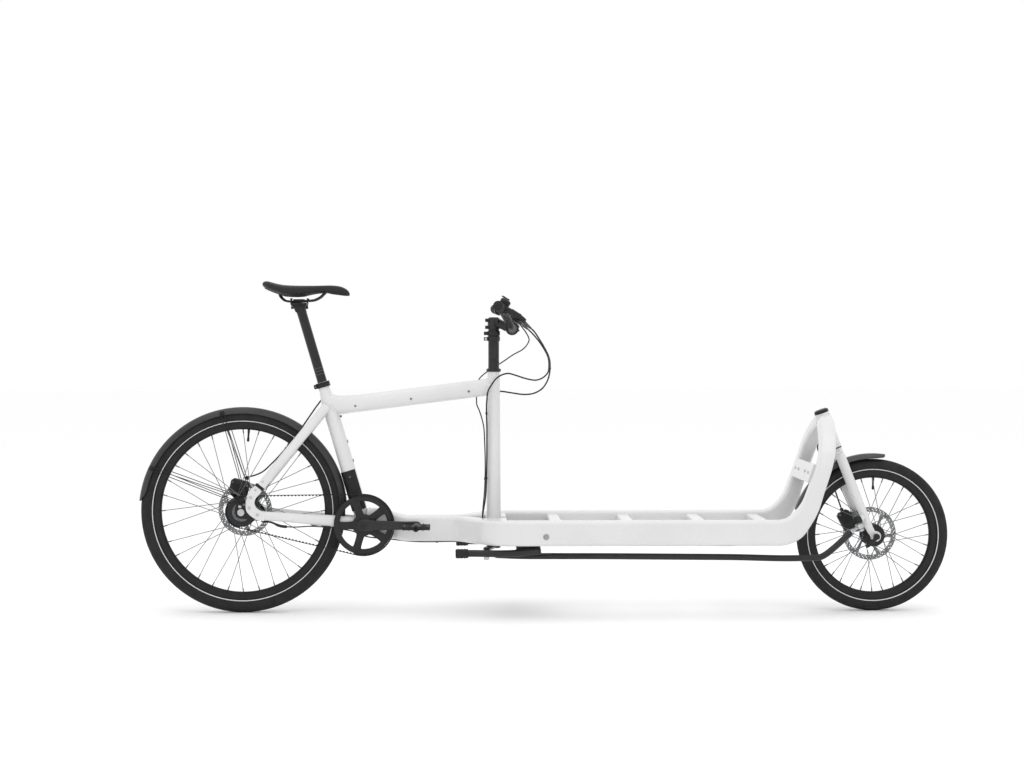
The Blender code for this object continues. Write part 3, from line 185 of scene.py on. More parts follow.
def rounded_outline(width, depth, radius, per_corner=7):
    """A rectangle with round corners, for one station or for a column of stations: corner centres plus arcs."""
    width, depth, radius = (v[:, None] for v in np.broadcast_arrays(*map(np.atleast_1d, (width, depth, radius))))
    turn = np.linspace(0, math.pi / 2, per_corner)
    turns = np.concatenate([turn + quarter * math.pi / 2 for quarter in range(4)])
    right = np.repeat([1, -1, -1, 1], per_corner)
    upper = np.repeat([1, 1, -1, -1], per_corner)
    a = right * (width / 2 - radius) + radius * np.cos(turns)
    b = upper * (depth / 2 - radius) + radius * np.sin(turns)
    return np.stack([a, b], -1)


def oval_outline(half_width, half_depth, sides=36):
    """An ellipse, for one station or for a column of stations."""
    half_width, half_depth = np.broadcast_arrays(np.atleast_1d(half_width), np.atleast_1d(half_depth))
    turns = np.arange(sides) * math.tau / sides
    return np.stack([half_width[:, None] * np.cos(turns), half_depth[:, None] * np.sin(turns)], -1)


def carried(path, outlines, side=(0.0, 1.0, 0.0), closed=False, capped=True):
    """A solid swept along a path: each ring is its point, plus a times the side direction, plus b times up.

    Side is kept square to the path, and up is the path's direction crossed with side."""
    path = np.asarray(path, float)
    outlines = np.broadcast_to(outlines, (len(path), *np.shape(outlines)[-2:]))
    along = np.roll(path, -1, 0) - np.roll(path, 1, 0) if closed else np.gradient(path, axis=0)
    along /= np.linalg.norm(along, axis=1, keepdims=True)
    side = np.broadcast_to(np.asarray(side, float), path.shape)
    across = side - along * np.sum(side * along, 1, keepdims=True)
    across /= np.linalg.norm(across, axis=1, keepdims=True)
    up = np.cross(along, across)
    rings = path[:, None] + across[:, None] * outlines[..., :1] + up[:, None] * outlines[..., 1:]
    return skinned(rings, closed, capped)


def skinned(rings, closed=False, capped=True):
    """Points and faces of a rows x columns grid whose columns close on themselves, with a face on each end."""
    rows, columns = rings.shape[:2]
    index = np.arange(rows * columns).reshape(rows, columns)
    lower, upper = (index, np.roll(index, -1, 0)) if closed else (index[:-1], index[1:])
    faces = np.stack([lower, np.roll(lower, -1, 1), np.roll(upper, -1, 1), upper], -1).reshape(-1, 4).tolist()
    if not closed and capped:
        faces += [index[0].tolist(), index[-1].tolist()]
    return rings.reshape(-1, 3), faces


def piece_of(name, solids, material, body, stands_for=(), crease=35.0, bevel=0.0):
    """One object from solids given as points and faces, facing outwards, riding on a body of the frame.

    A body given as two names and two points only has the piece's placement baked into its points; the piece rides on
    no body."""
    points = np.concatenate([p for p, _ in solids])
    starts = np.cumsum([0] + [len(p) for p, _ in solids])
    faces = [[start + i for i in face] for start, (_, own) in zip(starts.tolist(), solids) for face in own]
    mesh = bpy.data.meshes.new(name)
    mesh.from_pydata(points.tolist(), [], faces)
    shape = bmesh.new()
    shape.from_mesh(mesh)
    bmesh.ops.remove_doubles(shape, verts=shape.verts, dist=2e-7)
    bmesh.ops.recalc_face_normals(shape, faces=shape.faces)
    shape.to_mesh(mesh)
    shape.free()
    mesh.shade_smooth()
    mesh.set_sharp_from_angle(angle=math.radians(crease))
    mesh.materials.append(material)
    piece = bpy.data.objects.new(name, mesh)
    bpy.context.scene.collection.objects.link(piece)
    if bevel:
        edge = piece.modifiers.new("edge", "BEVEL")
        edge.width, edge.segments, edge.limit_method, edge.angle_limit = bevel, 2, "ANGLE", math.radians(35)
        edge.harden_normals = True
    if isinstance(body, tuple):
        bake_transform(piece)
    else:
        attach(piece, body)
    if stands_for:
        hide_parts(*stands_for)
    return piece


# gloss white polyester powder coat: a faint orange peel about 3 mm across, and a clear, even gloss
WHITE_COAT = surface_finish("white_powder_coat_gloss", "D9D9D9", "D4D4D4", 0.20, 0.0032, 0.00003, 0.26, 0.05,
                            coat=0.35)

RAIL_Y, RAIL_TOP, RAIL_DEPTH, RAIL_WIDTH, RAIL_CORNER = 0.190, 0.309, 0.078, 0.060, 0.011
RAIL_MIDDLE = RAIL_TOP - RAIL_DEPTH / 2
RAIL_STATIONS = [
    (-0.5750, 0.0184, 0.2930, 0.0354, 0.084), (-0.535, 0.0184, 0.2890, 0.0354, 0.086),
    (-0.485, 0.0190, 0.2775, 0.0366, 0.080), (-0.440, 0.0253, RAIL_MIDDLE, 0.0500, RAIL_DEPTH),
    (-0.300, 0.0258, RAIL_MIDDLE, 0.0510, RAIL_DEPTH), (-0.268, 0.0380, RAIL_MIDDLE, 0.0560, RAIL_DEPTH),
    (-0.215, 0.1080, RAIL_MIDDLE, RAIL_WIDTH, RAIL_DEPTH), (-0.172, 0.1640, RAIL_MIDDLE, RAIL_WIDTH, RAIL_DEPTH),
    (-0.135, 0.1870, RAIL_MIDDLE, RAIL_WIDTH, RAIL_DEPTH), (-0.095, RAIL_Y, RAIL_MIDDLE, RAIL_WIDTH, RAIL_DEPTH),
    (0.725, RAIL_Y, RAIL_MIDDLE, RAIL_WIDTH, RAIL_DEPTH), (0.762, RAIL_Y, 0.280, RAIL_WIDTH, 0.075),
    (0.796, RAIL_Y, 0.312, RAIL_WIDTH, 0.062), (0.822, RAIL_Y, 0.352, RAIL_WIDTH, 0.053),
    (0.840, RAIL_Y, 0.402, RAIL_WIDTH, 0.048), (0.8625, 0.1880, 0.466, 0.058, 0.046),
    (0.8730, 0.1800, 0.502, 0.056, 0.047), (0.8810, 0.1560, 0.536, 0.052, 0.048),
    (0.8890, 0.1080, 0.573, 0.050, 0.048), (0.8960, 0.0480, 0.602, 0.048, 0.047),
    (0.8990, 0.0100, 0.614, 0.046, 0.042),
]
for hand, side_name in ((-1, "right"), (1, "left")):
    stations = faired(RAIL_STATIONS, 260)
    stations[:, 1] *= hand
    corner = np.minimum(RAIL_CORNER, stations[:, 3] / 3)
    rail = carried(stations[:, :3], rounded_outline(stations[:, 3], stations[:, 4], corner))
    piece_of(f"load_rail_{side_name}", [rail], WHITE_COAT, "frame", [f"rail_{side_name}"])

# ---------------------------------------------------------------- cross members, front brace and deck bosses
# Four rounded rectangular tubes are welded between the rails under the deck, and a folded plate ties the rails
# together behind the front wheel. A round cap closes the drain hole in the right rail.
MEMBER_REACH = RAIL_Y - RAIL_WIDTH / 2 + 0.001
MEMBER_PLACES = (0.030, 0.260, 0.490, 0.690)
for number, x in enumerate(MEMBER_PLACES, start=1):
    ends = np.linspace(-MEMBER_REACH, MEMBER_REACH, 5)
    member = carried([(x, y, 0.269) for y in ends], rounded_outline(0.062, 0.040, 0.008), side=(0, 0, 1))
    piece_of(f"deck_cross_member_{number}", [member], WHITE_COAT, "frame", [f"cross_member_{number}"])


def turned(profile, centre=(0, 0, 0), axis=(0, 1, 0), steps=48, closed=False):
    """A solid of revolution: each profile point is a radius and a distance along the axis from the centre.

    A closed profile gives a ring; otherwise the profile starts and ends on the axis or is capped flat."""
    axis = np.asarray(axis, float)
    axis = axis / np.linalg.norm(axis)
    helper = np.array([0.0, 0.0, 1.0]) if abs(axis[2]) < 0.9 else np.array([1.0, 0.0, 0.0])
    first = np.cross(axis, helper)
    first /= np.linalg.norm(first)
    second = np.cross(axis, first)
    turns = np.arange(steps) * math.tau / steps
    spoke = first * np.cos(turns)[:, None] + second * np.sin(turns)[:, None]
    profile = np.asarray(profile, float)
    rings = np.asarray(centre, float) + axis * profile[:, None, 1:] + spoke * profile[:, None, :1]
    if closed or (profile[0, 0] > 1e-9 or profile[-1, 0] > 1e-9):
        return skinned(rings, closed)
    inner = rings[1:-1]
    points, faces = skinned(inner, False, capped=False)
    poles = np.stack([rings[0, 0], rings[-1, 0]])
    first_pole, last_pole = len(points), len(points) + 1
    last = len(points) - steps
    faces += [[first_pole, (i + 1) % steps, i] for i in range(steps)]
    faces += [[last_pole, last + i, last + (i + 1) % steps] for i in range(steps)]
    return np.concatenate([points, poles]), faces


def button_bolt(place, axis, radius=0.0045, height=0.0030, socket=0.5):
    """A button-head screw: a low dome with a hexagonal-looking socket sunk in its top."""
    inner = radius * socket
    profile = [(0.0, -0.001), (radius, -0.001), (radius, height * 0.35), (radius * 0.86, height * 0.8),
               (inner * 1.15, height), (inner, height * 0.95), (inner * 0.95, height * 0.3), (0.0, height * 0.25)]
    return turned(profile, place, axis, 18)


STEEL = surface_finish("stainless_steel_bright", "C4C5C7", "AEB0B3", 0.012, 0.0010, 0.00001, 0.26, 0.07, metallic=1.0)

brace_path = [(0.833, y, 0.453) for y in np.linspace(-MEMBER_REACH, MEMBER_REACH, 7)]
brace_lean = (math.sin(math.radians(19)), 0, math.cos(math.radians(19)))
brace = carried(brace_path, rounded_outline(0.062, 0.010, 0.003), side=brace_lean)
piece_of("front_brace_plate", [brace], WHITE_COAT, "frame", ["front_brace"])
brace_face = np.array([-0.0052 * math.cos(math.radians(19)), 0, 0.0052 * math.sin(math.radians(19))])
piece_of("front_brace_screws",
         [button_bolt(np.array([0.833, y, 0.453]) + brace_face, brace_face, 0.0050) for y in (-0.120, -0.060, 0.060,
                                                                                              0.120)],
         STEEL, "frame")

PLUG_PLASTIC = surface_finish("abs_plastic_grey", "9A9B9C", "8D8E90", 0.01, 0.0012, 0.00002, 0.45, 0.05)
plug_profile = [(0.0, -0.002), (0.0095, -0.002), (0.0095, 0.0012), (0.0085, 0.0022), (0.0060, 0.0022),
                (0.0052, 0.0014),
                (0.0, 0.0012)]
piece_of("rail_drain_plug", [turned(plug_profile, (-0.007, -0.2200, 0.261), (0, -1, 0), 28)], PLUG_PLASTIC, "frame")

# ---------------------------------------------------------------- seat tube, top tube and steering tube
# Round and oval aluminium tubes, butted at the ends and welded with smoothed beads. The seat tube carries bottle
# bosses in front and a black chain-side guard low down; the steering tube stands on a box across both rails.
CRANK = np.array([-0.583, 0.0, 0.284])
SEAT_ANGLE = math.radians(73.65)
SEAT_UP = np.array([-math.cos(SEAT_ANGLE), 0.0, math.sin(SEAT_ANGLE)])
STEERING_X = -0.167

seat_profile = [(0.0158, 0.0205), (0.0235, 0.0205), (0.0235, 0.390), (0.0225, 0.408), (0.0195, 0.430),
                (0.0182, 0.440),
                (0.0180, 0.472), (0.0172, 0.474), (0.0162, 0.474), (0.0158, 0.472)]
bracket_shell = [(0.0125, -0.0365), (0.0215, -0.0365), (0.0230, -0.0350), (0.0230, 0.0350), (0.0215, 0.0365),
                 (0.0125, 0.0365)]
piece_of("seat_tube_and_bracket_shell", [turned(seat_profile, CRANK, SEAT_UP, 56, True),
                                         turned(bracket_shell, CRANK, closed=True)],
         WHITE_COAT, "frame", ["seat_tube"])

TOP_REAR, TOP_FRONT = np.array([-0.690, 0, 0.659]), np.array([STEERING_X, 0, 0.7247])
TOP_LENGTH = np.linalg.norm(TOP_FRONT - TOP_REAR)
top_direction = (TOP_FRONT - TOP_REAR) / TOP_LENGTH
top_turns = np.arange(44) * math.tau / 44


def top_tube_ring(reach, scale=1.0):
    """One point per angle of the oval, each at its own distance along the tube, which flares upwards at the rear.

    The flare falls off by a factor of e every 26 mm; a scale below one gives a ring inside the oval."""
    flare = 0.020 * np.exp(-np.maximum(reach, 0) / 0.026)
    half_width = np.interp(reach / TOP_LENGTH, (0, 0.35, 0.7, 1), (0.0225, 0.0225, 0.0205, 0.0190))
    across, up = half_width * np.cos(top_turns), (0.0275 + flare / 2) * np.sin(top_turns)
    middle = TOP_REAR + top_direction * reach[:, None] + np.array([0, 0, 0.5]) * flare[:, None]
    return (middle + np.array([0, scale, 0]) * across[:, None]
            + np.cross(top_direction, (0, scale, 0)) * up[:, None])


def reach_to_wall(start, heading, axis_point, axis, wall, scale):
    """The distance at which each line of the oval leaves a round wall, found by repeated part steps towards it."""
    flat = top_direction - axis * (top_direction @ axis)
    flat *= heading / np.linalg.norm(flat)
    reach = np.full(len(top_turns), float(start))
    for _ in range(80):
        offset = top_tube_ring(reach, scale) - axis_point
        offset -= axis * (offset @ axis)[:, None]
        reach += heading * 0.5 * (np.sqrt(np.maximum(wall ** 2 - offset[:, 1] ** 2, 0)) - offset @ flat)
    return reach


END_SCALES = (0.02, 0.15, 0.3, 0.45, 0.6, 0.75, 0.88)
seat_end = (0.0, 1, CRANK, SEAT_UP, 0.0197)
steering_end = (TOP_LENGTH, -1, np.array([STEERING_X, 0, 0]), np.array([0, 0, 1.0]), 0.0192)
reach_from, reach_to = reach_to_wall(*seat_end, 1.0), reach_to_wall(*steering_end, 1.0)
top_rings = [top_tube_ring(reach_to_wall(*seat_end, scale), scale) for scale in END_SCALES]
top_rings += [top_tube_ring(reach_from + (reach_to - reach_from) * share) for share in np.linspace(0, 1, 90) ** 1.6]
top_rings += [top_tube_ring(reach_to_wall(*steering_end, scale), scale) for scale in END_SCALES[::-1]]
top_solid = skinned(np.stack(top_rings))
foot = (STEERING_X, 0, 0)
steering_tube_profile = [(0.0181, 0.236), (0.0225, 0.236), (0.0233, 0.238), (0.0233, 0.309), (0.0198, 0.768),
                         (0.0210, 0.7695), (0.0210, 0.772), (0.0181, 0.772)]
piece_of("top_tube_oval", [top_solid], WHITE_COAT, "frame", ["top_tube"])
cross_boxes = []
for hand in (-1, 1):
    outline = np.array([(-0.033, 0.0185), (0.033, 0.0185), (0.033, 0.172), (-0.033, 0.120)]) * (1, hand)
    level = [(STEERING_X + 0.007, 0, z) for z in (0.236, 0.238, 0.302, 0.304)]
    cross_boxes.append(carried(level, outline, side=(1, 0, 0)))
piece_of("steering_tube_upright", [turned(steering_tube_profile, foot, (0, 0, 1), 56, True), *cross_boxes],
         WHITE_COAT, "frame",
         ["steering_tube"], bevel=0.0015)


def weld_bead(ring, size):
    """A smoothed weld: a rounded bead carried round a closed curve where two tubes meet."""
    turns = np.arange(8) * math.tau / 8
    bead = np.stack([size * np.cos(turns), size * np.sin(turns)], -1)
    centre = ring.mean(0)
    return carried(ring, bead, side=ring - centre, closed=True)


def tube_joint(radius, axis_point, axis, other_point, other_axis, half_width, half_depth, count=72):
    """The curve where an oval tube meets a round one: each line of the oval, run on until it touches the round."""
    axis, other_axis = axis / np.linalg.norm(axis), other_axis / np.linalg.norm(other_axis)
    side = np.array([0.0, 1.0, 0.0])
    up = np.cross(other_axis, side)
    turns = np.arange(count) * math.tau / count
    start = other_point + side * (half_width * np.cos(turns))[:, None] + up * (half_depth * np.sin(turns))[:, None]
    offset = start - axis_point
    d = other_axis - axis * np.dot(other_axis, axis)
    m = offset - axis * (offset @ axis)[:, None]
    a, b = d @ d, m @ d
    c = np.sum(m * m, 1) - radius ** 2
    travel = (-b - np.sqrt(np.maximum(b * b - a * c, 0))) / a
    return start + other_axis * travel[:, None]


rear_joint = tube_joint(0.0232, CRANK, SEAT_UP, TOP_FRONT, -top_direction, 0.0222, 0.0272)
front_joint = tube_joint(0.0212, np.array(foot, float), np.array([0, 0, 1.0]), TOP_REAR, top_direction, 0.0188,
                         0.0270)
piece_of("top_tube_weld_beads", [weld_bead(rear_joint, 0.0030), weld_bead(front_joint, 0.0026)], WHITE_COAT, "frame")

# ---------------------------------------------------------------- rear stays and dropouts
# Oval aluminium stays end in thick forged yokes. On the right the yoke opens through a bolted split block, so that
# the endless belt can pass, and a black sliding plate bolted behind it holds the axle.
HALF_YOKE = [
    (-0.9225, 0.416), (-0.9440, 0.392), (-0.9530, 0.374), (-0.9555, 0.340), (-0.9480, 0.323), (-0.9210, 0.303),
    (-0.8900, 0.302), (-0.8900, 0.330), (-0.9060, 0.331), (-0.9220, 0.342), (-0.9275, 0.356), (-0.9240, 0.370),
    (-0.9130, 0.382), (-0.9010, 0.396),
]
PLATE_OUTLINE = [
    (-0.952, 0.384), (-0.934, 0.386), (-0.926, 0.374), (-0.930, 0.350), (-0.908, 0.329), (-0.906, 0.309),
    (-0.935, 0.301), (-0.970, 0.3085), (-0.986, 0.319), (-0.989, 0.338), (-0.984, 0.358),
]
REAR_AXLE = np.array([-0.970, 0.0, 0.3265])


def softened(outline, rounds=2):
    """A closed outline with its corners cut again and again: each side keeps its middle half."""
    points = np.asarray(outline, float)
    for _ in range(rounds):
        after = np.roll(points, -1, 0)
        points = np.stack([0.75 * points + 0.25 * after, 0.25 * points + 0.75 * after], 1).reshape(-1, 2)
    return points


def circle_points(x, z, radius, count=24):
    """A closed ring of points in the upright plane along the bicycle."""
    turns = np.arange(count) * math.tau / count
    return np.stack([x + radius * np.cos(turns), z + radius * np.sin(turns)], -1)


def inside(points, loop):
    """Which points lie in a closed loop: a ray from each to the right crosses the loop an odd number of times."""
    x, z = points[:, :1], points[:, 1:]
    x0, z0, x1, z1 = loop[:, 0], loop[:, 1], np.roll(loop[:, 0], -1), np.roll(loop[:, 1], -1)
    spans = (z0 > z) != (z1 > z)
    cross = x0 + (z - z0) * (x1 - x0) / np.where(z1 == z0, 1.0, z1 - z0)
    return (np.sum(spans & (x < cross), 1) % 2).astype(bool)


def pierced_plate(loops, y_from, y_to):
    """A flat plate in the XZ plane: the first loop is its edge and the others are holes through it.

    Its faces are the triangles between the loops whose middles lie in the edge and in no hole; its walls stand on
    the sides that just one triangle uses."""
    loops = [np.asarray(loop, float) for loop in loops]
    starts = np.cumsum([0] + [len(loop) for loop in loops])
    flat = np.concatenate(loops)
    edges = [(s + i, s + (i + 1) % len(loop)) for s, loop in zip(starts.tolist(), loops) for i in range(len(loop))]
    corners, _, faces, *_ = geometry.delaunay_2d_cdt([Vector(p) for p in flat], edges, [], 0, 1e-7)
    corners = np.array([tuple(corner) for corner in corners])
    faces = np.array([list(face) for face in faces])
    middles = corners[faces].mean(1)
    keep = inside(middles, loops[0])
    for loop in loops[1:]:
        keep &= ~inside(middles, loop)
    faces = faces[keep].tolist()
    count = len(corners)
    uses = {}
    for face in faces:
        for a, b in zip(face, face[1:] + face[:1]):
            uses[frozenset((a, b))] = uses.get(frozenset((a, b)), 0) + 1
    walls = [[a, b, b + count, a + count] for a, b in map(tuple, (edge for edge, n in uses.items() if n == 1))]
    level = [np.column_stack([corners[:, 0], np.full(count, y), corners[:, 1]]) for y in (y_from, y_to)]
    return np.concatenate(level), faces + [[i + count for i in face] for face in faces] + walls


ANODISED_BLACK = surface_finish("black_anodised_aluminium", "1B1B1C", "141415", 0.010, 0.0012, 0.000012, 0.36, 0.07,
                                specular=0.30, coat=0.05)


def chainstay_solid(hand):
    """From the shell to the yoke, flattened beside the tyre and the belt ring."""
    stations = faired([
        (-0.590, 0.0270, 0.289, 0.0085, 0.0185), (-0.640, 0.0355, 0.292, 0.0085, 0.0185),
        (-0.690, 0.0362, 0.297, 0.0085, 0.0180), (-0.750, 0.0470, 0.302, 0.0100, 0.0165),
        (-0.830, 0.0610, 0.310, 0.0100, 0.0150), (-0.895, 0.0740, 0.316, 0.0080, 0.0140),
    ], 60)
    stations[:, 1] *= hand
    return carried(stations[:, :3], oval_outline(stations[:, 3], stations[:, 4]))


def seatstay_solid(hand, foot_place):
    """From the yoke to the side of the seat tube."""
    stations = faired([
        (*foot_place, 0.0070, 0.0140), (-0.8500, 0.0660, 0.4790, 0.0100, 0.0150),
        (-0.8000, 0.0560, 0.5400, 0.0110, 0.0155), (-0.7650, 0.0480, 0.5830, 0.0110, 0.0155),
        (-0.7360, 0.0370, 0.6190, 0.0110, 0.0155), (-0.7000, 0.0190, 0.6620, 0.0100, 0.0150),
    ], 60)
    stations[:, 1] *= hand
    return carried(stations[:, :3], oval_outline(stations[:, 3], stations[:, 4]))


yoke_edge = softened(HALF_YOKE, 1)
plate_loops = [softened(PLATE_OUTLINE), circle_points(-0.970, 0.3265, 0.0056)]
piece_of("right_chainstay_with_yoke", [chainstay_solid(-1), pierced_plate([yoke_edge], -0.0800, -0.0720)], WHITE_COAT,
         "frame", ["chainstay_right"], bevel=0.0012)
piece_of("right_seatstay_tube", [seatstay_solid(-1, (-0.9050, 0.0760, 0.4100))], WHITE_COAT, "frame",
         ["seatstay_right"], bevel=0.0008)
piece_of("left_stays_with_yoke", [chainstay_solid(1), seatstay_solid(1, (-0.9165, 0.0750, 0.3955)),
                                  pierced_plate([yoke_edge], 0.0675, 0.0800)], WHITE_COAT, "frame",
         ["rear_stay_left"], bevel=0.0012)
piece_of("axle_plates_sliding", [pierced_plate(plate_loops, -0.0715, -0.0675), pierced_plate(plate_loops, 0.0672,
                                                                                             0.0730)],
         ANODISED_BLACK, "frame", ["axle_plate_right"], bevel=0.0006)

BLOCK_TILT = math.radians(38.5)
block_across = np.array([math.cos(BLOCK_TILT), 0, -math.sin(BLOCK_TILT)])
block_path = [np.array([-0.9103, y, 0.4079]) for y in (-0.0812, -0.0790, -0.0720, -0.0700)]
block_shapes = [rounded_outline(0.031 - cut, 0.0094 - cut, 0.002)[0] for cut in (0.001, 0, 0, 0.001)]
piece_of("belt_split_block", [carried(block_path, np.stack(block_shapes), side=block_across)], ANODISED_BLACK,
         "frame")
yoke_bolts = [(-0.9385, 0.3747, 0.0046), (-0.9427, 0.3415, 0.0046), (-0.9171, 0.3196, 0.0046),
              (-0.9225, 0.3985, 0.0030),
              (-0.9000, 0.4250, 0.0030)]
piece_of("yoke_bolts", [button_bolt((x, -0.0800 - 0.0012 * (z > 0.41), z), (0, -1, 0), r, 0.0028) for x, z,
                        r in yoke_bolts]
         + [button_bolt((x, 0.0800, z), (0, 1, 0), r, 0.0028) for x, z, r in yoke_bolts[:4]], STEEL, "frame")

axle_profile = [(0, -0.0860), (0.0040, -0.0860), (0.0050, -0.0850), (0.0050, -0.0805), (0.0098, -0.0803),
                (0.0098, -0.0735),
                (0.0112, -0.0733), (0.0112, -0.0718), (0.0050, -0.0716), (0.0050, -0.0672), (0.0110, -0.0670),
                (0.0110, -0.0605), (0.0050, -0.0603), (0.0050, 0.0560), (0.0110, 0.0562), (0.0110, 0.0670),
                (0.0050, 0.0672), (0.0050, 0.0803), (0.0105, 0.0805), (0.0105, 0.0885), (0.0050, 0.0887),
                (0.0050, 0.0935), (0.0045, 0.0940), (0, 0.0940)]
piece_of("rear_axle_with_nuts", [turned(axle_profile, REAR_AXLE, steps=24)], STEEL, "frame", ["rear_axle"],
         crease=20)
piece_of("axle_stop_bolt", [button_bolt((-0.9726, -0.0715, 0.3456), (0, -1, 0), 0.0062, 0.0050, 0.45)], STEEL,
         "frame")

# ---------------------------------------------------------------- tyres, rims and valves
# Reinforced rubber tyres with a shallow road tread and a reflective stripe vulcanised into each wall, on hooked
# black anodised rims, with rubber-stemmed valves.


def tyre_rubber(name, centre, crown):
    """Black tyre rubber, a little dusty in soft patches, with fine ribs that run round the wall, spaced by radius
    from the axle.
    """
    material = bpy.data.materials.new(name)
    material.use_nodes = True
    tree = material.node_tree
    shader = tree.nodes["Principled BSDF"]
    shader.inputs["Roughness"].default_value = 0.72
    shader.inputs["Specular IOR Level"].default_value = 0.22
    colour = patched(tree, srgb("212121"), srgb("292929"), 0.035, 1.0)
    tree.links.new(colour, shader.inputs["Base Color"])
    place = add_node(tree, "ShaderNodeTexCoord")
    from_axle = add_node(tree, "ShaderNodeMapping", {"Vector": place.outputs["Object"],
                                                     "Location": (-centre[0], 0.0, -centre[2])})
    split = add_node(tree, "ShaderNodeSeparateXYZ", {"Vector": from_axle.outputs["Vector"]})
    flat = add_node(tree, "ShaderNodeCombineXYZ", {"X": split.outputs["X"], "Z": split.outputs["Z"]})
    radius = add_node(tree, "ShaderNodeVectorMath", {0: flat.outputs["Vector"]}, operation="LENGTH")
    rib = add_node(tree, "ShaderNodeMath", {0: radius.outputs["Value"], 1: math.tau / 0.0022}, operation="MULTIPLY")
    wave = add_node(tree, "ShaderNodeMath", {0: rib.outputs["Value"]}, operation="SINE")
    wall = add_node(tree, "ShaderNodeMapRange", {"Value": radius.outputs["Value"], "From Min": crown - 0.004,
                                                 "From Max": crown + 0.004, "To Min": 0.35, "To Max": 0.0})
    height = add_node(tree, "ShaderNodeMath", {0: wave.outputs["Value"], 1: wall.outputs["Result"]},
                      operation="MULTIPLY")
    bump = add_node(tree, "ShaderNodeBump", {"Height": height.outputs["Value"], "Distance": 0.0004, "Strength": 1.0})
    tree.links.new(bump.outputs["Normal"], shader.inputs["Normal"])
    return material


def tyre_surface(centre, radius, width, bead, around, tread_pitch):
    """A torus-like tyre on a grid of turn and section angle, lowered by slanted grooves over the tread.

    The section is a circle of half the width; the groove depth is 1 mm where a saw of turn plus slant is low."""
    half = width / 2
    section = np.radians(np.linspace(-128, 128, 57))
    turns = np.arange(around) * math.tau / around
    blocks = round(math.tau * radius / tread_pitch)
    slant = turns[:, None] * blocks + np.abs(section) * 5.0
    wave = np.abs((slant / math.tau) % 1.0 - 0.5)
    shoulder = (np.abs(section) > 0.22) & (np.abs(section) < 0.92)
    groove = np.where(shoulder & (wave < 0.12), 0.0011, 0.0)
    rib_groove = np.where(np.abs(np.abs(section) - 0.24) < 0.05, 0.0008, 0.0)
    reach = half - groove - rib_groove
    from_axle = radius - half + reach * np.cos(section)
    across = reach * np.sin(section)
    x = centre[0] + from_axle * np.cos(turns)[:, None]
    z = centre[2] + from_axle * np.sin(turns)[:, None]
    outer = np.stack([x, np.broadcast_to(across, x.shape), z], -1)
    low = np.stack([centre[0] + bead * np.cos(turns), np.full(around, 0.0115), centre[2] + bead * np.sin(turns)], -1)
    high = low * (1, -1, 1)
    return skinned(np.concatenate([outer, low[:, None], high[:, None]], 1), closed=True)


def stripe_ring(centre, radius, crown_radius, half, width, hand):
    """A thin ring that lies on the tyre's round wall, 0.25 mm proud of it."""
    angle = math.acos(np.clip((radius - crown_radius) / half, -1, 1))
    spread = width / 2 / half
    angles = np.array([angle - spread, angle, angle + spread])
    profile = [(crown_radius + (half + 0.00025) * math.cos(a), hand * (half + 0.00025) * math.sin(a)) for a in angles]
    profile += [(crown_radius + (half - 0.0006) * math.cos(a),
                 hand * (half - 0.0006) * math.sin(a)) for a in angles[::-1]]
    return turned(profile, centre, steps=180, closed=True)


RIM_BLACK = surface_finish("rim_black_anodised", "1C1C1D", "161617", 0.02, 0.0015, 0.00001, 0.42, 0.06, specular=0.28)
REFLECTIVE = surface_finish("reflective_glass_bead_strip", "D8D9DA", "C9CACB", 0.004, 0.0008, 0.00002, 0.40, 0.08)
VALVE_RUBBER = surface_finish("valve_stem_rubber", "181818", "202020", 0.004, 0.0010, 0.00002, 0.60, 0.05,
                              specular=0.3)
FRONT_AXLE = np.array([1.056, 0.0, 0.245])


def wheel_parts(name, centre, radius, width, rim_inner, rim_outer, stripe, body, around, valve_angle):
    """Tyre, two stripes, rim with its rounded well and walls, and a valve, all about one axle."""
    rubber = tyre_rubber(f"tyre_rubber_{name}", centre, radius - width / 2)
    piece_of(f"{name}_tyre_casing", [tyre_surface(centre, radius, width, rim_outer + 0.0003, around, 0.0165)], rubber,
             body, [f"{name}_tyre"], crease=50)
    half, crown_radius = width / 2, radius - width / 2
    piece_of(f"{name}_tyre_stripes",
             [stripe_ring(centre, stripe, crown_radius, half, 0.0032, hand) for hand in (-1, 1)],
             REFLECTIVE, body)
    well = rim_inner + 0.006
    rim_profile = [(rim_inner, -0.0035), (rim_inner + 0.0012, -0.0065), (well, -0.0108), (rim_outer - 0.004, -0.0122),
                   (rim_outer, -0.0125), (rim_outer + 0.0012, -0.0118), (rim_outer + 0.0008, -0.0100),
                   (rim_outer - 0.004, -0.0095), (rim_outer - 0.006, 0.0), (rim_outer - 0.004, 0.0095),
                   (rim_outer + 0.0008, 0.0100), (rim_outer + 0.0012, 0.0118), (rim_outer, 0.0125),
                   (rim_outer - 0.004, 0.0122), (well, 0.0108), (rim_inner + 0.0012, 0.0065), (rim_inner, 0.0035)]
    piece_of(f"{name}_rim_extrusion", [turned(rim_profile, centre, steps=160, closed=True)], RIM_BLACK, body,
             [f"{name}_rim"])
    inward = np.array([-math.cos(math.radians(valve_angle)), 0, -math.sin(math.radians(valve_angle))])
    valve_foot = np.asarray(centre) - inward * (rim_inner + 0.001)
    valve_profile = [(0, 0.0), (0.0042, 0.0), (0.0040, 0.010), (0.0032, 0.0125), (0.0032, 0.028), (0.0040, 0.0285),
                     (0.0040, 0.038), (0.0030, 0.0395), (0, 0.0395)]
    piece_of(f"{name}_valve", [turned(valve_profile, valve_foot, inward, 20)], VALVE_RUBBER, body)


wheel_parts("rear", REAR_AXLE, 0.3265, 0.047, 0.2606, 0.2855, 0.2880, "rear_wheel", 744, 86.0)
wheel_parts("front", FRONT_AXLE, 0.245, 0.042, 0.184, 0.209, 0.2118, "front_wheel", 560, 89.0)

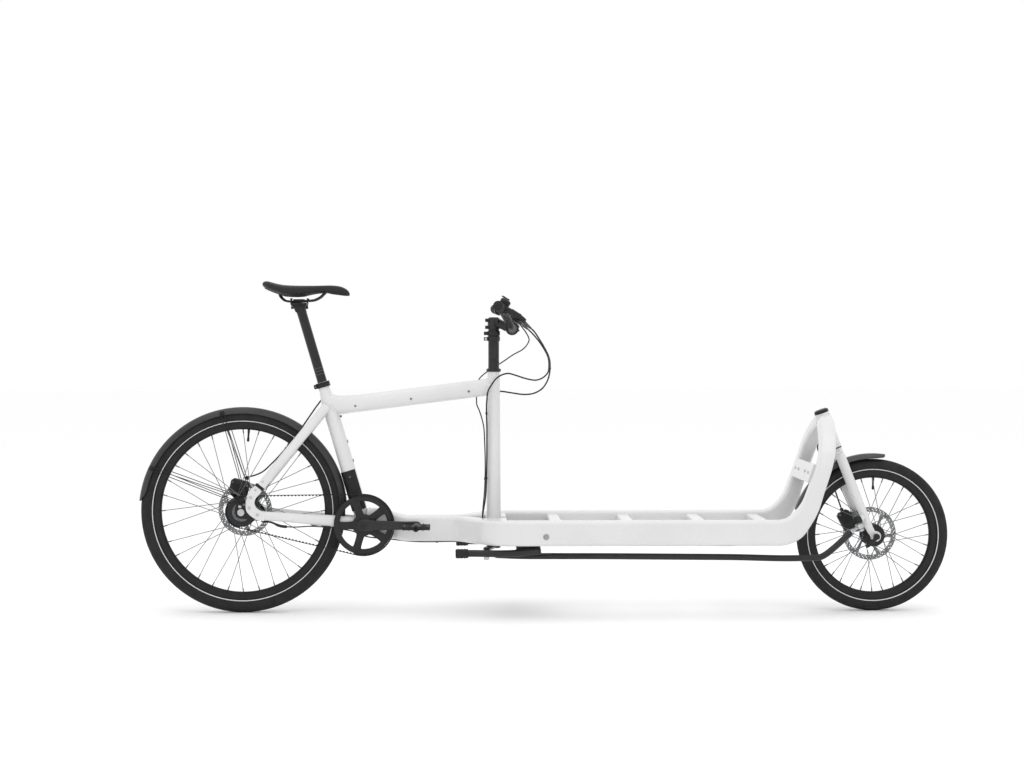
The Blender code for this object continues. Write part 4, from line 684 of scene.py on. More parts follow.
# ---------------------------------------------------------------- spokes, hubs and brake discs
# Thirty-two stainless spokes cross twice on each wheel and end in nipples in the rim. The rear gear hub is a black
# drum; the front hub has a flange for the disc. The discs are stainless sheet, cut with arms and vent holes.


def spoke_set(centre, hub_radius, flange_y, rim_radius, rim_y, offset):
    """Sixteen spokes on one flange: head, straight blade and nipple, every other one led the opposite way."""
    solids = []
    for k in range(16):
        direction = 1 if k % 2 == 0 else -1
        start = math.radians(22.5 * k + offset)
        end = start + math.radians(45 * direction)
        head = np.array([centre[0] + hub_radius * math.cos(start), flange_y + 0.0014 * direction * np.sign(flange_y),
                         centre[2] + hub_radius * math.sin(start)])
        tip = np.array([centre[0] + rim_radius * math.cos(end), rim_y, centre[2] + rim_radius * math.sin(end)])
        reach = np.linalg.norm(tip - head)
        profile = [(0, -0.0012), (0.0021, -0.0012), (0.0021, 0.0008), (0.0011, 0.0012), (0.0011, reach - 0.0135),
                   (0.0020, reach - 0.0125), (0.0021, reach), (0, reach)]
        solids.append(turned(profile, head, tip - head, 8))
    return solids


def disc_rotor(centre, y, bore, offset):
    """A brake disc: a ring with three rows of vents, six leaning arms and an inner carrier ring."""
    loops = [circle_points(centre[0], centre[2], 0.086, 144), circle_points(centre[0], centre[2], bore, 40)]
    for k in range(6):
        middle = math.radians(60 * k + offset)
        outer = middle + np.radians(np.linspace(-26, 25, 11))
        inner = middle + np.radians(np.linspace(9, -39, 7))
        window = [(0.0705 * math.cos(a), 0.0705 * math.sin(a)) for a in outer]
        window += [(0.030 * math.cos(a), 0.030 * math.sin(a)) for a in inner]
        loops.append(softened(np.array(window) + (centre[0], centre[2]), 1))
    for row, (distance, count, size) in enumerate(((0.0742, 36, 0.0016), (0.0783, 36, 0.0019), (0.0824, 36, 0.0016))):
        for k in range(count):
            a = math.tau * (k + 0.33 * row) / count
            if (k + row) % 6 == 5:
                continue
            loops.append(circle_points(centre[0] + distance * math.cos(a), centre[2] + distance * math.sin(a), size,
                                       8))
    return pierced_plate(loops, y, y + 0.0020)


HUB_BLACK = surface_finish("hub_shell_satin_black", "19191A", "121213", 0.012, 0.0013, 0.000015, 0.34, 0.06,
                           specular=0.28, coat=0.05)
SPOKE_STEEL = surface_finish("drawn_stainless_wire", "77787A", "636466", 0.010, 0.0010, 0.000005, 0.40, 0.06,
                             metallic=0.7)
DISC_STEEL = surface_finish("ground_martensitic_steel", "8A8B8D", "6E6F72", 0.008, 0.0009, 0.00002, 0.36, 0.08,
                            metallic=0.8)
for hand, side_name in ((-1, "right"), (1, "left")):
    shift = 11.25 * (hand > 0)
    piece_of(f"rear_{side_name}_spokes_laced", spoke_set(REAR_AXLE, 0.0440, hand * 0.0307, 0.2606, hand * 0.004,
                                                         shift),
             SPOKE_STEEL, "rear_wheel", [f"rear_spokes_{side_name}"])
    piece_of(f"front_{side_name}_spokes_laced",
             spoke_set(FRONT_AXLE, 0.0340, -0.027 if hand < 0 else 0.023, 0.184, hand * 0.004, shift), SPOKE_STEEL,
             "front_wheel", [f"front_spokes_{side_name}"])

rear_hub_profile = [(0.0053, -0.0415), (0.0220, -0.0415), (0.0240, -0.0400), (0.0300, -0.0395), (0.0455, -0.0335),
                    (0.0465, -0.0325), (0.0465, -0.0290), (0.0455, -0.0280), (0.0412, -0.0265), (0.0398, -0.0240)]
rear_hub_profile += [(0.0398 - 0.0006 * (k % 2), -0.018 + 0.004 * k) for k in range(10)]
rear_hub_profile += [(0.0398, 0.0240), (0.0412, 0.0265), (0.0455, 0.0280), (0.0465, 0.0290), (0.0465, 0.0325),
                     (0.0455, 0.0335), (0.0300, 0.0385), (0.0230, 0.0400), (0.0225, 0.0494), (0.0147, 0.0496),
                     (0.0147, 0.0555), (0.0053, 0.0555)]
piece_of("rear_gear_hub", [turned(rear_hub_profile, REAR_AXLE, steps=72, closed=True)], HUB_BLACK, "rear_wheel",
         ["rear_hub"])
front_hub_profile = [(0.0063, -0.0495), (0.0100, -0.0495), (0.0110, -0.0485), (0.0115, -0.0370), (0.0150, -0.0345),
                     (0.0350, -0.0295), (0.0362, -0.0285), (0.0362, -0.0255), (0.0350, -0.0245), (0.0325, -0.0220),
                     (0.0300, -0.0180), (0.0290, 0.0), (0.0300, 0.0150), (0.0325, 0.0185), (0.0350, 0.0205),
                     (0.0362, 0.0215), (0.0362, 0.0245), (0.0350, 0.0255), (0.0230, 0.0295), (0.0220, 0.0364),
                     (0.0110, 0.0366), (0.0110, 0.0485), (0.0100, 0.0495), (0.0063, 0.0495)]
piece_of("front_hub_shell", [turned(front_hub_profile, FRONT_AXLE, steps=72, closed=True)], HUB_BLACK, "front_wheel",
         ["front_hub"])
piece_of("rear_brake_disc", [disc_rotor(REAR_AXLE, 0.0500, 0.0152, 10)], DISC_STEEL, "rear_wheel", ["rear_rotor"],
         crease=30)
piece_of("front_brake_disc", [disc_rotor(FRONT_AXLE, 0.0370, 0.0120, 25)], DISC_STEEL, "front_wheel", ["front_rotor"],
         crease=30)
for name, centre, y in (("rear", REAR_AXLE, 0.0520), ("front", FRONT_AXLE, 0.0390)):
    heads = [button_bolt((centre[0] + 0.0185 * math.cos(a), y, centre[2] + 0.0185 * math.sin(a)), (0, 1, 0), 0.0035,
                         0.0020)
             for a in np.arange(6) * math.tau / 6]
    piece_of(f"{name}_disc_bolts", heads, STEEL, f"{name}_wheel")

# ---------------------------------------------------------------- belt, belt ring and rear sprocket
# An endless carbon-cord belt with moulded teeth runs from a forged aluminium ring with five arms to the gear hub's
# toothed sprocket. Both are black anodised; the belt is polyurethane with a dull, slightly ribbed back.
BELT_Y, RING_RADIUS, SPROCKET_RADIUS, BELT_PITCH = -0.050, 0.0945, 0.0475, 0.0111


def belt_path(count):
    """The belt's inner line: two arcs about the two axles, joined by their common tangents, in equal steps."""
    reach = REAR_AXLE - CRANK
    lean = math.atan2(reach[2], reach[0])
    spread = math.acos((RING_RADIUS - SPROCKET_RADIUS) / np.hypot(reach[0], reach[2]))
    front = np.linspace(lean + spread - math.tau, lean - spread, 200)
    rear = np.linspace(lean - spread, lean + spread, 100)
    gap = 0.0006
    x = np.concatenate([CRANK[0] + (RING_RADIUS + gap) * np.cos(front),
                        REAR_AXLE[0] + (SPROCKET_RADIUS + gap) * np.cos(rear)])
    z = np.concatenate([CRANK[2] + (RING_RADIUS + gap) * np.sin(front),
                        REAR_AXLE[2] + (SPROCKET_RADIUS + gap) * np.sin(rear)])
    x, z = np.append(x, x[0]), np.append(z, z[0])
    along = np.concatenate([[0], np.cumsum(np.hypot(np.diff(x), np.diff(z)))])
    wanted = np.arange(count) * along[-1] / count
    return np.interp(wanted, along, x), np.interp(wanted, along, z), along[-1]


def toothed_belt():
    """A band with teeth inside: on the free runs the inner line is pushed out by 3 mm between the teeth."""
    teeth = round(belt_path(4)[2] / BELT_PITCH)
    phase = np.arange(teeth * 10) % 10
    x, z, _ = belt_path(teeth * 10)
    along = np.stack([np.roll(x, -1) - np.roll(x, 1), np.roll(z, -1) - np.roll(z, 1)], -1)
    along /= np.linalg.norm(along, axis=1, keepdims=True)
    outward = np.stack([along[:, 1], -along[:, 0]], -1)
    outward *= np.sign(np.sum(outward * np.stack([x - CRANK[0], z - CRANK[2]], -1), 1).mean())
    depth = np.interp(phase, [0, 1, 2, 5, 6, 7, 9], [0.0008, 0.0, 0.0, 0.0008, 0.0030, 0.0030, 0.0030])
    on_ring = np.hypot(x - CRANK[0], z - CRANK[2]) < RING_RADIUS + 0.0009
    on_sprocket = np.hypot(x - REAR_AXLE[0], z - REAR_AXLE[2]) < SPROCKET_RADIUS + 0.0009
    depth = np.where(on_ring | on_sprocket, 0.0, depth)
    ribs = 0.00015 * (phase % 2)
    rows = [(depth, -0.0060), (depth, 0.0060), (0.0039 + 0 * depth, 0.0060), (0.0042 - ribs, 0.0056),
            (0.0042 - ribs, -0.0056), (0.0039 + 0 * depth, -0.0060)]
    rings = np.stack([np.stack([x + outward[:, 0] * out, np.full(len(x), BELT_Y + y), z + outward[:, 1] * out], -1)
                      for out, y in rows], 1)
    return skinned(rings, closed=True)


def toothed_ring(centre, radius, teeth, depth):
    """The outline of a toothed wheel: four points a tooth, with the root lower by the depth."""
    turns = (np.arange(teeth)[:, None] + np.array([-0.36, -0.20, 0.20, 0.36])).ravel() * math.tau / teeth
    reach = np.tile([radius - depth, radius, radius, radius - depth], teeth)
    return np.stack([centre[0] + reach * np.cos(turns), centre[2] + reach * np.sin(turns)], -1)


BELT_BLACK = surface_finish("belt_polyurethane_black", "1C1C1D", "151516", 0.006, 0.0010, 0.00004, 0.60, 0.06,
                            specular=0.25)
RING_BLACK = surface_finish("ring_forged_black_anodised", "212122", "19191A", 0.015, 0.0012, 0.000015, 0.42, 0.07,
                            specular=0.30, coat=0.05)
piece_of("drive_belt_toothed", [toothed_belt()], BELT_BLACK, "frame", ["belt"], crease=40)

ring_loops = [toothed_ring(CRANK, RING_RADIUS, 55, 0.0026), circle_points(CRANK[0], CRANK[2], 0.0124, 40)]
for k in range(5):
    middle = math.radians(2 + 72 * k)
    outer = middle + np.radians(np.linspace(-27, 27, 13))
    inner = middle + np.radians(np.linspace(16, -16, 5))
    window = [(0.0765 * math.cos(a), 0.0765 * math.sin(a)) for a in outer]
    window += [(0.0355 * math.cos(a), 0.0355 * math.sin(a)) for a in inner]
    ring_loops.append(softened(np.array(window) + (CRANK[0], CRANK[2]), 3))
ring_rim = [(0.0790, -0.0545), (0.0800, -0.0556), (0.0905, -0.0556), (0.0915, -0.0545), (0.0915, -0.0530),
            (0.0790, -0.0530)]
ring_boss = [(0.0124, -0.0560), (0.0240, -0.0560), (0.0260, -0.0545), (0.0260, -0.0470), (0.0230, -0.0440),
             (0.0124, -0.0440)]
arm_ribs = []
for k in range(5):
    a = math.radians(38 + 72 * k)
    out = np.array([math.cos(a), 0, math.sin(a)])
    rib_path = CRANK + out * np.linspace(0.022, 0.080, 9)[:, None] + (0, -0.0545, 0)
    arm_ribs.append(carried(rib_path, rounded_outline(0.0022, np.linspace(0.017, 0.011, 9), 0.001), side=(0, 1, 0)))
web_loops = [circle_points(CRANK[0], CRANK[2], RING_RADIUS, 160), *ring_loops[1:]]
piece_of("belt_ring_five_arm", [pierced_plate(ring_loops, -0.0545, -0.0525),
                                pierced_plate(web_loops, -0.0525, -0.0455),
                                turned(ring_rim, CRANK, steps=96, closed=True),
                                turned(ring_boss, CRANK, steps=48, closed=True), *arm_ribs],
         RING_BLACK, "crankset", ["belt_ring"], bevel=0.0005)
ring_bolts = [CRANK + (0.0835 * math.cos(a), -0.0552,
                       0.0835 * math.sin(a)) for a in np.radians(38 + 72 * np.arange(5))]
piece_of("belt_ring_bolts", [button_bolt(place, (0, -1, 0), 0.0042, 0.0016, 0.55) for place in ring_bolts],
         RING_BLACK,
         "crankset")

sprocket_loops = [toothed_ring(REAR_AXLE, SPROCKET_RADIUS, 28, 0.0026), circle_points(REAR_AXLE[0], REAR_AXLE[2],
                                                                                      0.0053, 24)]
sprocket_hub = [(0.0053, -0.0600), (0.0165, -0.0600), (0.0180, -0.0590), (0.0180, -0.0555), (0.0320, -0.0552),
                (0.0330, -0.0545), (0.0330, -0.0455), (0.0280, -0.0420), (0.0053, -0.0420)]
sprocket_web = [circle_points(REAR_AXLE[0], REAR_AXLE[2], SPROCKET_RADIUS, 96), sprocket_loops[1]]
piece_of("rear_sprocket_toothed", [pierced_plate(sprocket_loops, -0.0545, -0.0525),
                                   pierced_plate(sprocket_web, -0.0525, -0.0455),
                                   turned(sprocket_hub, REAR_AXLE, steps=56, closed=True)], RING_BLACK,
         "rear_sprocket",
         ["rear_sprocket"], bevel=0.0004)
dial = [(0.0200, -0.0556), (0.0210, -0.0562), (0.0290, -0.0562), (0.0300, -0.0556), (0.0300, -0.0548),
        (0.0200, -0.0548)]
piece_of("shift_barrel_ring", [turned(dial, REAR_AXLE, steps=48, closed=True)],
         surface_finish("gear_barrel_grey", "6C6D6F", "4E4F51", 0.006, 0.0010, 0.00002, 0.35, 0.07, metallic=0.6),
         "rear_sprocket")

# ---------------------------------------------------------------- cranks and pedals
# Hollow-forged aluminium arms, black anodised and polished by shoes along the upper edge, on a through axle.
# The pedals are one-piece cages with a round body for the pin and rows of short grip studs.
CRANK_LENGTH = 0.170
ARM_STATIONS = [
    (-0.0185, 0.0650, 0, 0.0110, 0.022), (-0.0120, 0.0650, 0, 0.0135, 0.034), (0.0, 0.0650, 0, 0.0140, 0.040),
    (0.0180, 0.0660, 0, 0.0140, 0.037), (0.0450, 0.0680, 0, 0.0138, 0.0315), (0.0900, 0.0705, 0, 0.0132, 0.0285),
    (0.1450, 0.0742, 0, 0.0124, 0.0265), (CRANK_LENGTH, 0.0755, 0, 0.0120, 0.0275),
    (CRANK_LENGTH + 0.0090, 0.0760, 0, 0.0112, 0.0215), (CRANK_LENGTH + 0.0130, 0.0760, 0, 0.0090, 0.0100),
]
CRANK_BLACK = surface_finish("crank_black_anodised_forged", "212122", "1A1A1B", 0.020, 0.0014, 0.000012, 0.28, 0.06,
                             specular=0.35, coat=0.12)


def crank_solid(hand, direction):
    """The arm: a rounded rectangle that narrows and steps outwards, with a shallow trough down its outer face."""
    stations = faired(ARM_STATIONS, 70)
    outline = rounded_outline(stations[:, 3], stations[:, 4], np.minimum(0.0045, stations[:, 4] / 3))
    along = stations[:, 0]
    trough = 0.0016 * np.clip((along - 0.030) / 0.012, 0, 1) * np.clip((0.150 - along) / 0.012, 0, 1)
    centred = np.exp(-(outline[..., 1] / 0.006) ** 2)
    outline[..., 0] -= np.where(outline[..., 0] > 0, 1, 0) * trough[:, None] * centred
    path = CRANK + stations[:, :3] * (direction, hand, 1)
    return carried(path, outline, side=(0, hand, 0))


for hand, side_name in ((-1, "right"), (1, "left")):
    direction = -hand
    eye = CRANK + (direction * CRANK_LENGTH, 0, 0)
    pin = [(0.0, 0.0690), (0.0070, 0.0690), (0.0070, 0.0840), (0.0085, 0.0845), (0.0085, 0.0860), (0.0046, 0.0870),
           (0.0045, 0.1715), (0, 0.1720)]
    solids = [crank_solid(hand, direction), turned([(r, d) for r, d in pin], eye, (0, hand, 0), 24)]
    if hand > 0:
        solids.append(turned([(0, -0.0575), (0.0118, -0.0575), (0.0120, -0.0565), (0.0120, 0.064), (0, 0.064)], CRANK,
                             steps=36))
    piece_of(f"crank_arm_{side_name}", solids, CRANK_BLACK, "crankset", [f"crank_{side_name}"],
             crease=30)
    cap = [(0, 0.0700), (0.0145, 0.0700), (0.0145, 0.0726), (0.0130, 0.0738), (0.0070, 0.0738), (0.0062, 0.0728),
           (0.0050, 0.0724), (0, 0.0724)]
    piece_of(f"crank_axle_cap_{side_name}", [turned(cap, CRANK, (0, hand, 0), 36)], RING_BLACK, "crankset")


def pedal_cage(centre, hand):
    """A flat cage, open fore and aft of the pin's body, with twelve studs."""
    outline = np.array([(-0.044, -0.046), (-0.030, -0.050), (0.030, -0.050), (0.044, -0.046), (0.048, -0.030),
                        (0.048, 0.030),
                        (0.044, 0.046), (0.030, 0.050), (-0.030, 0.050), (-0.044, 0.046), (-0.048, 0.030),
                        (-0.048, -0.030)])
    loops = [softened(outline, 2)]
    for x in (-1, 1):
        for y in (-1, 1):
            window = np.array([(0.0125, 0.004), (0.0380, 0.004), (0.0385, 0.034), (0.0330, 0.0385), (0.0125, 0.0385)])
            loops.append(softened(window * (x, y), 2)[:: x * y])
    points, faces = pierced_plate(loops, -0.0055, 0.0055)
    plate_solid = (np.stack([points[:, 0], points[:, 2] * hand, points[:, 1]], -1) * (0.92, 0.90, 1) + centre, faces)
    barrel = [(0.0049, 0.0760), (0.0098, 0.0765), (0.0105, 0.0800), (0.0105, 0.1700), (0.0098, 0.1730),
              (0.0049, 0.1735)]
    axis_foot = np.array([centre[0], 0, centre[2]])
    solids = [plate_solid, turned([(r, d + 0.0105) for r, d in barrel], axis_foot, (0, hand, 0), 32, True)]
    for x, y in [(sx * 0.0405, y) for sx in (-1, 1) for y in (-0.030, -0.012, 0.012, 0.030)] + [
            (x, sy * 0.0415) for sy in (-1, 1) for x in (-0.022, 0.022)]:
        stud = [(0, -0.0085), (0.0014, -0.0080), (0.0020, -0.0040), (0.0020, 0.0040), (0.0014, 0.0080), (0, 0.0085)]
        solids.append(turned(stud, centre + np.array([x, y, 0]), (0, 0, 1), 8))
    return solids


PEDAL_BLACK = surface_finish("glass_filled_nylon_black", "1E1E1F", "161617", 0.008, 0.0008, 0.00006, 0.52, 0.07,
                             specular=0.30)
for hand, side_name in ((-1, "right"), (1, "left")):
    centre = CRANK + (-hand * CRANK_LENGTH, hand * 0.1300, 0)
    piece_of(f"pedal_cage_{side_name}", pedal_cage(centre, hand), PEDAL_BLACK, f"pedal_{side_name}",
             [f"pedal_{side_name}"], bevel=0.0008)

# ---------------------------------------------------------------- seatpost, clamp and saddle
# A black anodised post with height marks is held by a bolted collar. Its two-bolt head grips the steel rails of a
# padded saddle, whose synthetic leather cover is stretched over foam and a nylon shell.
SEATPOST_RADIUS = 0.0155


def marked_post(name):
    """Black anodising with a fine lengthwise drawing grain; the height marks are a separate piece."""
    material = surface_finish(name, "1A1A1B", "131314", 0.03, 0.0016, 0.00001, 0.30, 0.06, specular=0.35, coat=0.10)
    tree = material.node_tree
    place = add_node(tree, "ShaderNodeTexCoord")
    grain_place = add_node(tree, "ShaderNodeMapping", {"Vector": place.outputs["Object"],
                                                       "Scale": (900.0, 900.0, 25.0)})
    grain = add_node(tree, "ShaderNodeTexNoise", {"Vector": grain_place.outputs["Vector"], "Scale": 1.0,
                                                  "Detail": 1.0})
    bump = add_node(tree, "ShaderNodeBump", {"Height": grain.outputs["Fac"], "Distance": 0.00001, "Strength": 1.0})
    tree.links.new(bump.outputs["Normal"], tree.nodes["Principled BSDF"].inputs["Normal"])
    return material


POST_BLACK = marked_post("post_drawn_black_anodised")
post_profile = [(0, 0.2200), (0.0145, 0.2200), (SEATPOST_RADIUS, 0.2210), (SEATPOST_RADIUS, 0.700), (0.0165, 0.712),
                (0.0160, 0.722), (0, 0.722)]
post_marks = [turned([(SEATPOST_RADIUS - 0.0004, d), (SEATPOST_RADIUS + 0.00008, d),
                      (SEATPOST_RADIUS + 0.00008, d + 0.0008),
                      (SEATPOST_RADIUS - 0.0004, d + 0.0008)], CRANK, SEAT_UP, 48, True) for d in (0.500, 0.510,
                                                                                                   0.520)]
piece_of("seatpost_tube", [turned(post_profile, CRANK, SEAT_UP, 56)], POST_BLACK, "seat", ["seatpost"])
piece_of("seatpost_height_marks", post_marks, SPOKE_STEEL, "seat")
head_rows = faired([(-0.7860, 0, 0.9640, 0.030, 0.030), (-0.7870, 0, 0.9740, 0.037, 0.034),
                    (-0.7880, 0, 0.9850, 0.050, 0.050),
                    (-0.7885, 0, 0.9905, 0.056, 0.060), (-0.7885, 0, 0.9925, 0.054, 0.060)], 16)
head_parts = [carried(head_rows[:, :3], rounded_outline(head_rows[:, 4], head_rows[:, 3], 0.0060), side=(0, 1, 0)),
              carried([(-0.7885, y, 1.0010) for y in (-0.0310, -0.0295, 0.0295, 0.0310)],
                      rounded_outline(np.array([0.004, 0.006, 0.006, 0.004]), np.array([0.030, 0.036, 0.036, 0.030]),
                                      0.0018),
                      side=(0, 0, 1)),
              turned([(0, -0.012), (0.0040, -0.012), (0.0040, -0.004), (0.0025, -0.004), (0.0025, 0.018),
                      (0.0045, 0.018),
                      (0.0045, 0.022), (0, 0.022)], (-0.7640, 0, 0.9850), (0.1, 0, 1), 14),
              turned([(0, -0.012), (0.0040, -0.012), (0.0040, -0.004), (0.0025, -0.004), (0.0025, 0.018),
                      (0.0045, 0.018),
                      (0.0045, 0.022), (0, 0.022)], (-0.8130, 0, 0.9850), (-0.1, 0, 1), 14)]
piece_of("seatpost_head_clamp", head_parts, HUB_BLACK, "seat", bevel=0.0008)
clamp_profile = [(0.0183, 0.457), (0.0218, 0.457), (0.0225, 0.4578), (0.0225, 0.4640), (0.0219, 0.4650),
                 (0.0225, 0.4660),
                 (0.0225, 0.4727), (0.0218, 0.4735), (0.0183, 0.4735)]
lug_place = CRANK + SEAT_UP * 0.465 + (-0.0235, 0, -0.0069)
lug_path = [lug_place + (0, y, 0) for y in (-0.0100, -0.0092, -0.0010, -0.0008, 0.0008, 0.0010, 0.0092, 0.0100)]
lug_width = np.array([0.008, 0.011, 0.011, 0.009, 0.009, 0.011, 0.011, 0.008])
piece_of("seat_clamp_collar", [turned(clamp_profile, CRANK, SEAT_UP, 56, True),
                               carried(lug_path, rounded_outline(lug_width, lug_width + 0.003, 0.003),
                                       side=(1, 0, 0.3))],
         HUB_BLACK, "frame", ["seat_clamp"])
piece_of("seat_clamp_bolt", [button_bolt(lug_place + (0, -0.0100, 0), (0, -1, 0), 0.0036, 0.003)], SPOKE_STEEL,
         "frame")

SADDLE_STATIONS = [
    (-0.9030, 0, 0, 0.0420, 1.0560, 1.0450), (-0.8985, 0, 0, 0.0530, 1.0605, 1.0400),
                   (-0.8900, 0, 0, 0.0630, 1.0615, 1.0340),
    (-0.8750, 0, 0, 0.0700, 1.0580, 1.0270), (-0.8540, 0, 0, 0.0710, 1.0525, 1.0190),
                   (-0.8300, 0, 0, 0.0680, 1.0490, 1.0120),
    (-0.8000, 0, 0, 0.0590, 1.0478, 1.0105), (-0.7800, 0, 0, 0.0500, 1.0476, 1.0115),
                   (-0.7600, 0, 0, 0.0410, 1.0478, 1.0160),
    (-0.7330, 0, 0, 0.0320, 1.0483, 1.0212), (-0.7040, 0, 0, 0.0255, 1.0488, 1.0235),
                   (-0.6820, 0, 0, 0.0225, 1.0482, 1.0195),
    (-0.6600, 0, 0, 0.0200, 1.0455, 1.0168), (-0.6430, 0, 0, 0.0175, 1.0390, 1.0148),
                   (-0.6330, 0, 0, 0.0130, 1.0310, 1.0145),
    (-0.6285, 0, 0, 0.0070, 1.0240, 1.0160),
]


def saddle_cover(count=90, around=48):
    """The padded top: each section is a flattened oval whose upper half is crowned and dips along the middle.

    The middle channel is 3.5 mm deep over the rear two thirds; the skirt is drawn in below the widest line."""
    rows = faired(SADDLE_STATIONS, count)
    x, half, top, bottom = rows[:, 0], rows[:, 3], rows[:, 4], rows[:, 5]
    turns = np.arange(around) * math.tau / around
    c, s = np.cos(turns), np.sin(turns)
    across = half[:, None] * np.sign(c) * np.abs(c) ** 0.75
    waist = (bottom + 0.58 * (top - bottom))[:, None]
    upper = (top[:, None] - waist) * np.abs(s) ** 0.62
    lower = (waist - bottom[:, None]) * np.abs(s) ** 0.80
    z = waist + np.where(s > 0, upper, -lower)
    across = np.where(s < 0, across * (1 - 0.10 * np.abs(s)), across)
    channel = 0.0035 * np.exp(-(across / 0.012) ** 2) * np.clip((x + 0.905) / 0.03, 0, 1)[:, None]
    channel *= np.clip((-0.690 - x) / 0.05, 0, 1)[:, None]
    z = z - np.where(s > 0.2, channel, 0)
    rings = np.stack([np.broadcast_to(x[:, None], z.shape), np.broadcast_to(across, z.shape), z], -1)
    return skinned(rings)


def leatherette(name):
    """Embossed polyurethane leather: a pebble grain of 1.1 mm cells, with painted shade darkening the creases, and a
    little glossy.
    """
    material = bpy.data.materials.new(name)
    material.use_nodes = True
    tree = material.node_tree
    shader = tree.nodes["Principled BSDF"]
    shader.inputs["Specular IOR Level"].default_value = 0.30
    place = add_node(tree, "ShaderNodeTexCoord")
    cells = add_node(tree, "ShaderNodeTexVoronoi", {"Vector": place.outputs["Object"], "Scale": 1.0 / 0.0022},
                     feature="DISTANCE_TO_EDGE")
    pebble = add_node(tree, "ShaderNodeMapRange", {"Value": cells.outputs["Distance"], "From Min": 0.0,
                                                   "From Max": 0.18})
    # painted shade: the colour runs darker towards the cell edges, in the creases of the grain
    shade = add_node(tree, "ShaderNodeMix", {"Factor": pebble.outputs["Result"], "A": srgb("19191A"),
                                             "B": srgb("272728")},
                     data_type="RGBA")
    tree.links.new(shade.outputs["Result"], shader.inputs["Base Color"])
    gloss = add_node(tree, "ShaderNodeMapRange", {"Value": pebble.outputs["Result"], "To Min": 0.62, "To Max": 0.48})
    tree.links.new(gloss.outputs["Result"], shader.inputs["Roughness"])
    bump = add_node(tree, "ShaderNodeBump", {"Height": pebble.outputs["Result"], "Distance": 0.00012,
                                             "Strength": 1.0})
    tree.links.new(bump.outputs["Normal"], shader.inputs["Normal"])
    return material


saddle = piece_of("saddle_padded_cover", [saddle_cover()], leatherette("embossed_pu_leather_black"), "seat",
                  ["saddle"],
                  crease=60)
rows = faired(SADDLE_STATIONS, 90)[3:-3]
waists = rows[:, 5] + 0.06 * (rows[:, 4] - rows[:, 5])
seams = []
for hand in (-1, 1):
    seam_path = np.stack([rows[:, 0], hand * (rows[:, 3] * 0.90), waists], -1)
    seams.append(carried(seam_path, oval_outline(0.0011, 0.0011, 8), side=(0, 0, 1)))
piece_of("saddle_edge_piping", seams, PEDAL_BLACK, "seat")
RAIL_PATH = [(-0.852, 0.022, 1.024), (-0.849, 0.022, 1.014), (-0.843, 0.022, 1.006), (-0.831, 0.022, 0.9985),
             (-0.812, 0.022, 0.9965), (-0.790, 0.022, 0.9970), (-0.745, 0.022, 1.0000), (-0.725, 0.021, 1.0080),
             (-0.705, 0.018, 1.0260)]
rails = []
for hand in (-1, 1):
    path = faired(RAIL_PATH, 50) * (1, hand, 1)
    rails.append(carried(path, oval_outline(0.0035, 0.0035, 16)))
piece_of("saddle_rails", rails, HUB_BLACK, "seat")

# ---------------------------------------------------------------- steering column, stem and handlebar
# A steel column turns in the steering tube and is clamped by two rings. A four-bolt aluminium stem holds the riser
# bar, which has ribbed rubber grips with closed ends. All are black anodised.
LEVER_BLACK = surface_finish("die_cast_satin_black_paint", "212122", "19191A", 0.008, 0.0009, 0.00002, 0.38, 0.08,
                             specular=0.32, coat=0.05)
steering_foot = np.array([STEERING_X, 0, 0])
column_profile = [(0, 0.2055), (0.0212, 0.2055), (0.0220, 0.2063), (0.0220, 0.2247), (0.0212, 0.2255),
                  (0.0175, 0.2255),
                  (0.0175, 0.7723), (0.0225, 0.7723), (0.0235, 0.7733), (0.0235, 0.7800), (0.0226, 0.7812),
                  (0.0190, 0.7822), (0.0176, 0.7850), (0.0175, 0.8130), (0.0172, 0.8135), (0.0172, 0.8145),
                  (0.0175, 0.8150), (0.0175, 0.8700), (0.0198, 0.8700), (0.0205, 0.8707), (0.0205, 0.8843),
                  (0.0198, 0.8850), (0.0180, 0.8855), (0.0180, 0.8875), (0.0198, 0.8880), (0.0205, 0.8887),
                  (0.0205, 0.9013), (0.0198, 0.9020), (0.0175, 0.9025), (0.0175, 0.9080), (0.0143, 0.9080),
                  (0.0143, 0.9390), (0, 0.9390)]
ROD_REAR = np.array([-0.191, -0.102, 0.196])
arm_path = faired([(STEERING_X, 0.002, 0.2115, 0.030, 0.010), (STEERING_X - 0.014, -0.060, 0.2115, 0.024, 0.010),
                   (ROD_REAR[0], ROD_REAR[1], 0.2115, 0.022, 0.010), (ROD_REAR[0] - 0.002, ROD_REAR[1] - 0.0120,
                                                                      0.2115, 0.010, 0.008)], 30)
stud_profile = [(0, 0.1780), (0.0082, 0.1780), (0.0090, 0.1788), (0.0090, 0.1862), (0.0082, 0.1870), (0.0060, 0.1870),
                (0.0060, 0.2120), (0, 0.2120)]
lugs = [carried([(x, 0, z) for x in (-0.1985, -0.1970, -0.1865, -0.1850)],
                rounded_outline(np.array([0.014, 0.017, 0.017, 0.014]), 0.0115, 0.003)) for z in (0.8772, 0.8950)]
piece_of("steering_column_turned", [turned(column_profile, steering_foot, (0, 0, 1), 56),
                                    carried(arm_path[:, :3], rounded_outline(arm_path[:, 3], arm_path[:, 4], 0.003),
                                            side=(1, 0, 0)),
                                    *lugs], POST_BLACK, "steering", ["steering_column"])
piece_of("column_clamp_bolts", [button_bolt((-0.1920, -0.0082, 0.8772), (0, -1, 0), 0.0045, 0.0035),
                                button_bolt((-0.1920, 0.0082, 0.8950), (0, 1, 0), 0.0045, 0.0035)], STEEL, "steering")
piece_of("steering_ball_stud", [turned(stud_profile, (ROD_REAR[0], ROD_REAR[1], 0), (0, 0, 1), 24)], STEEL,
         "steering")

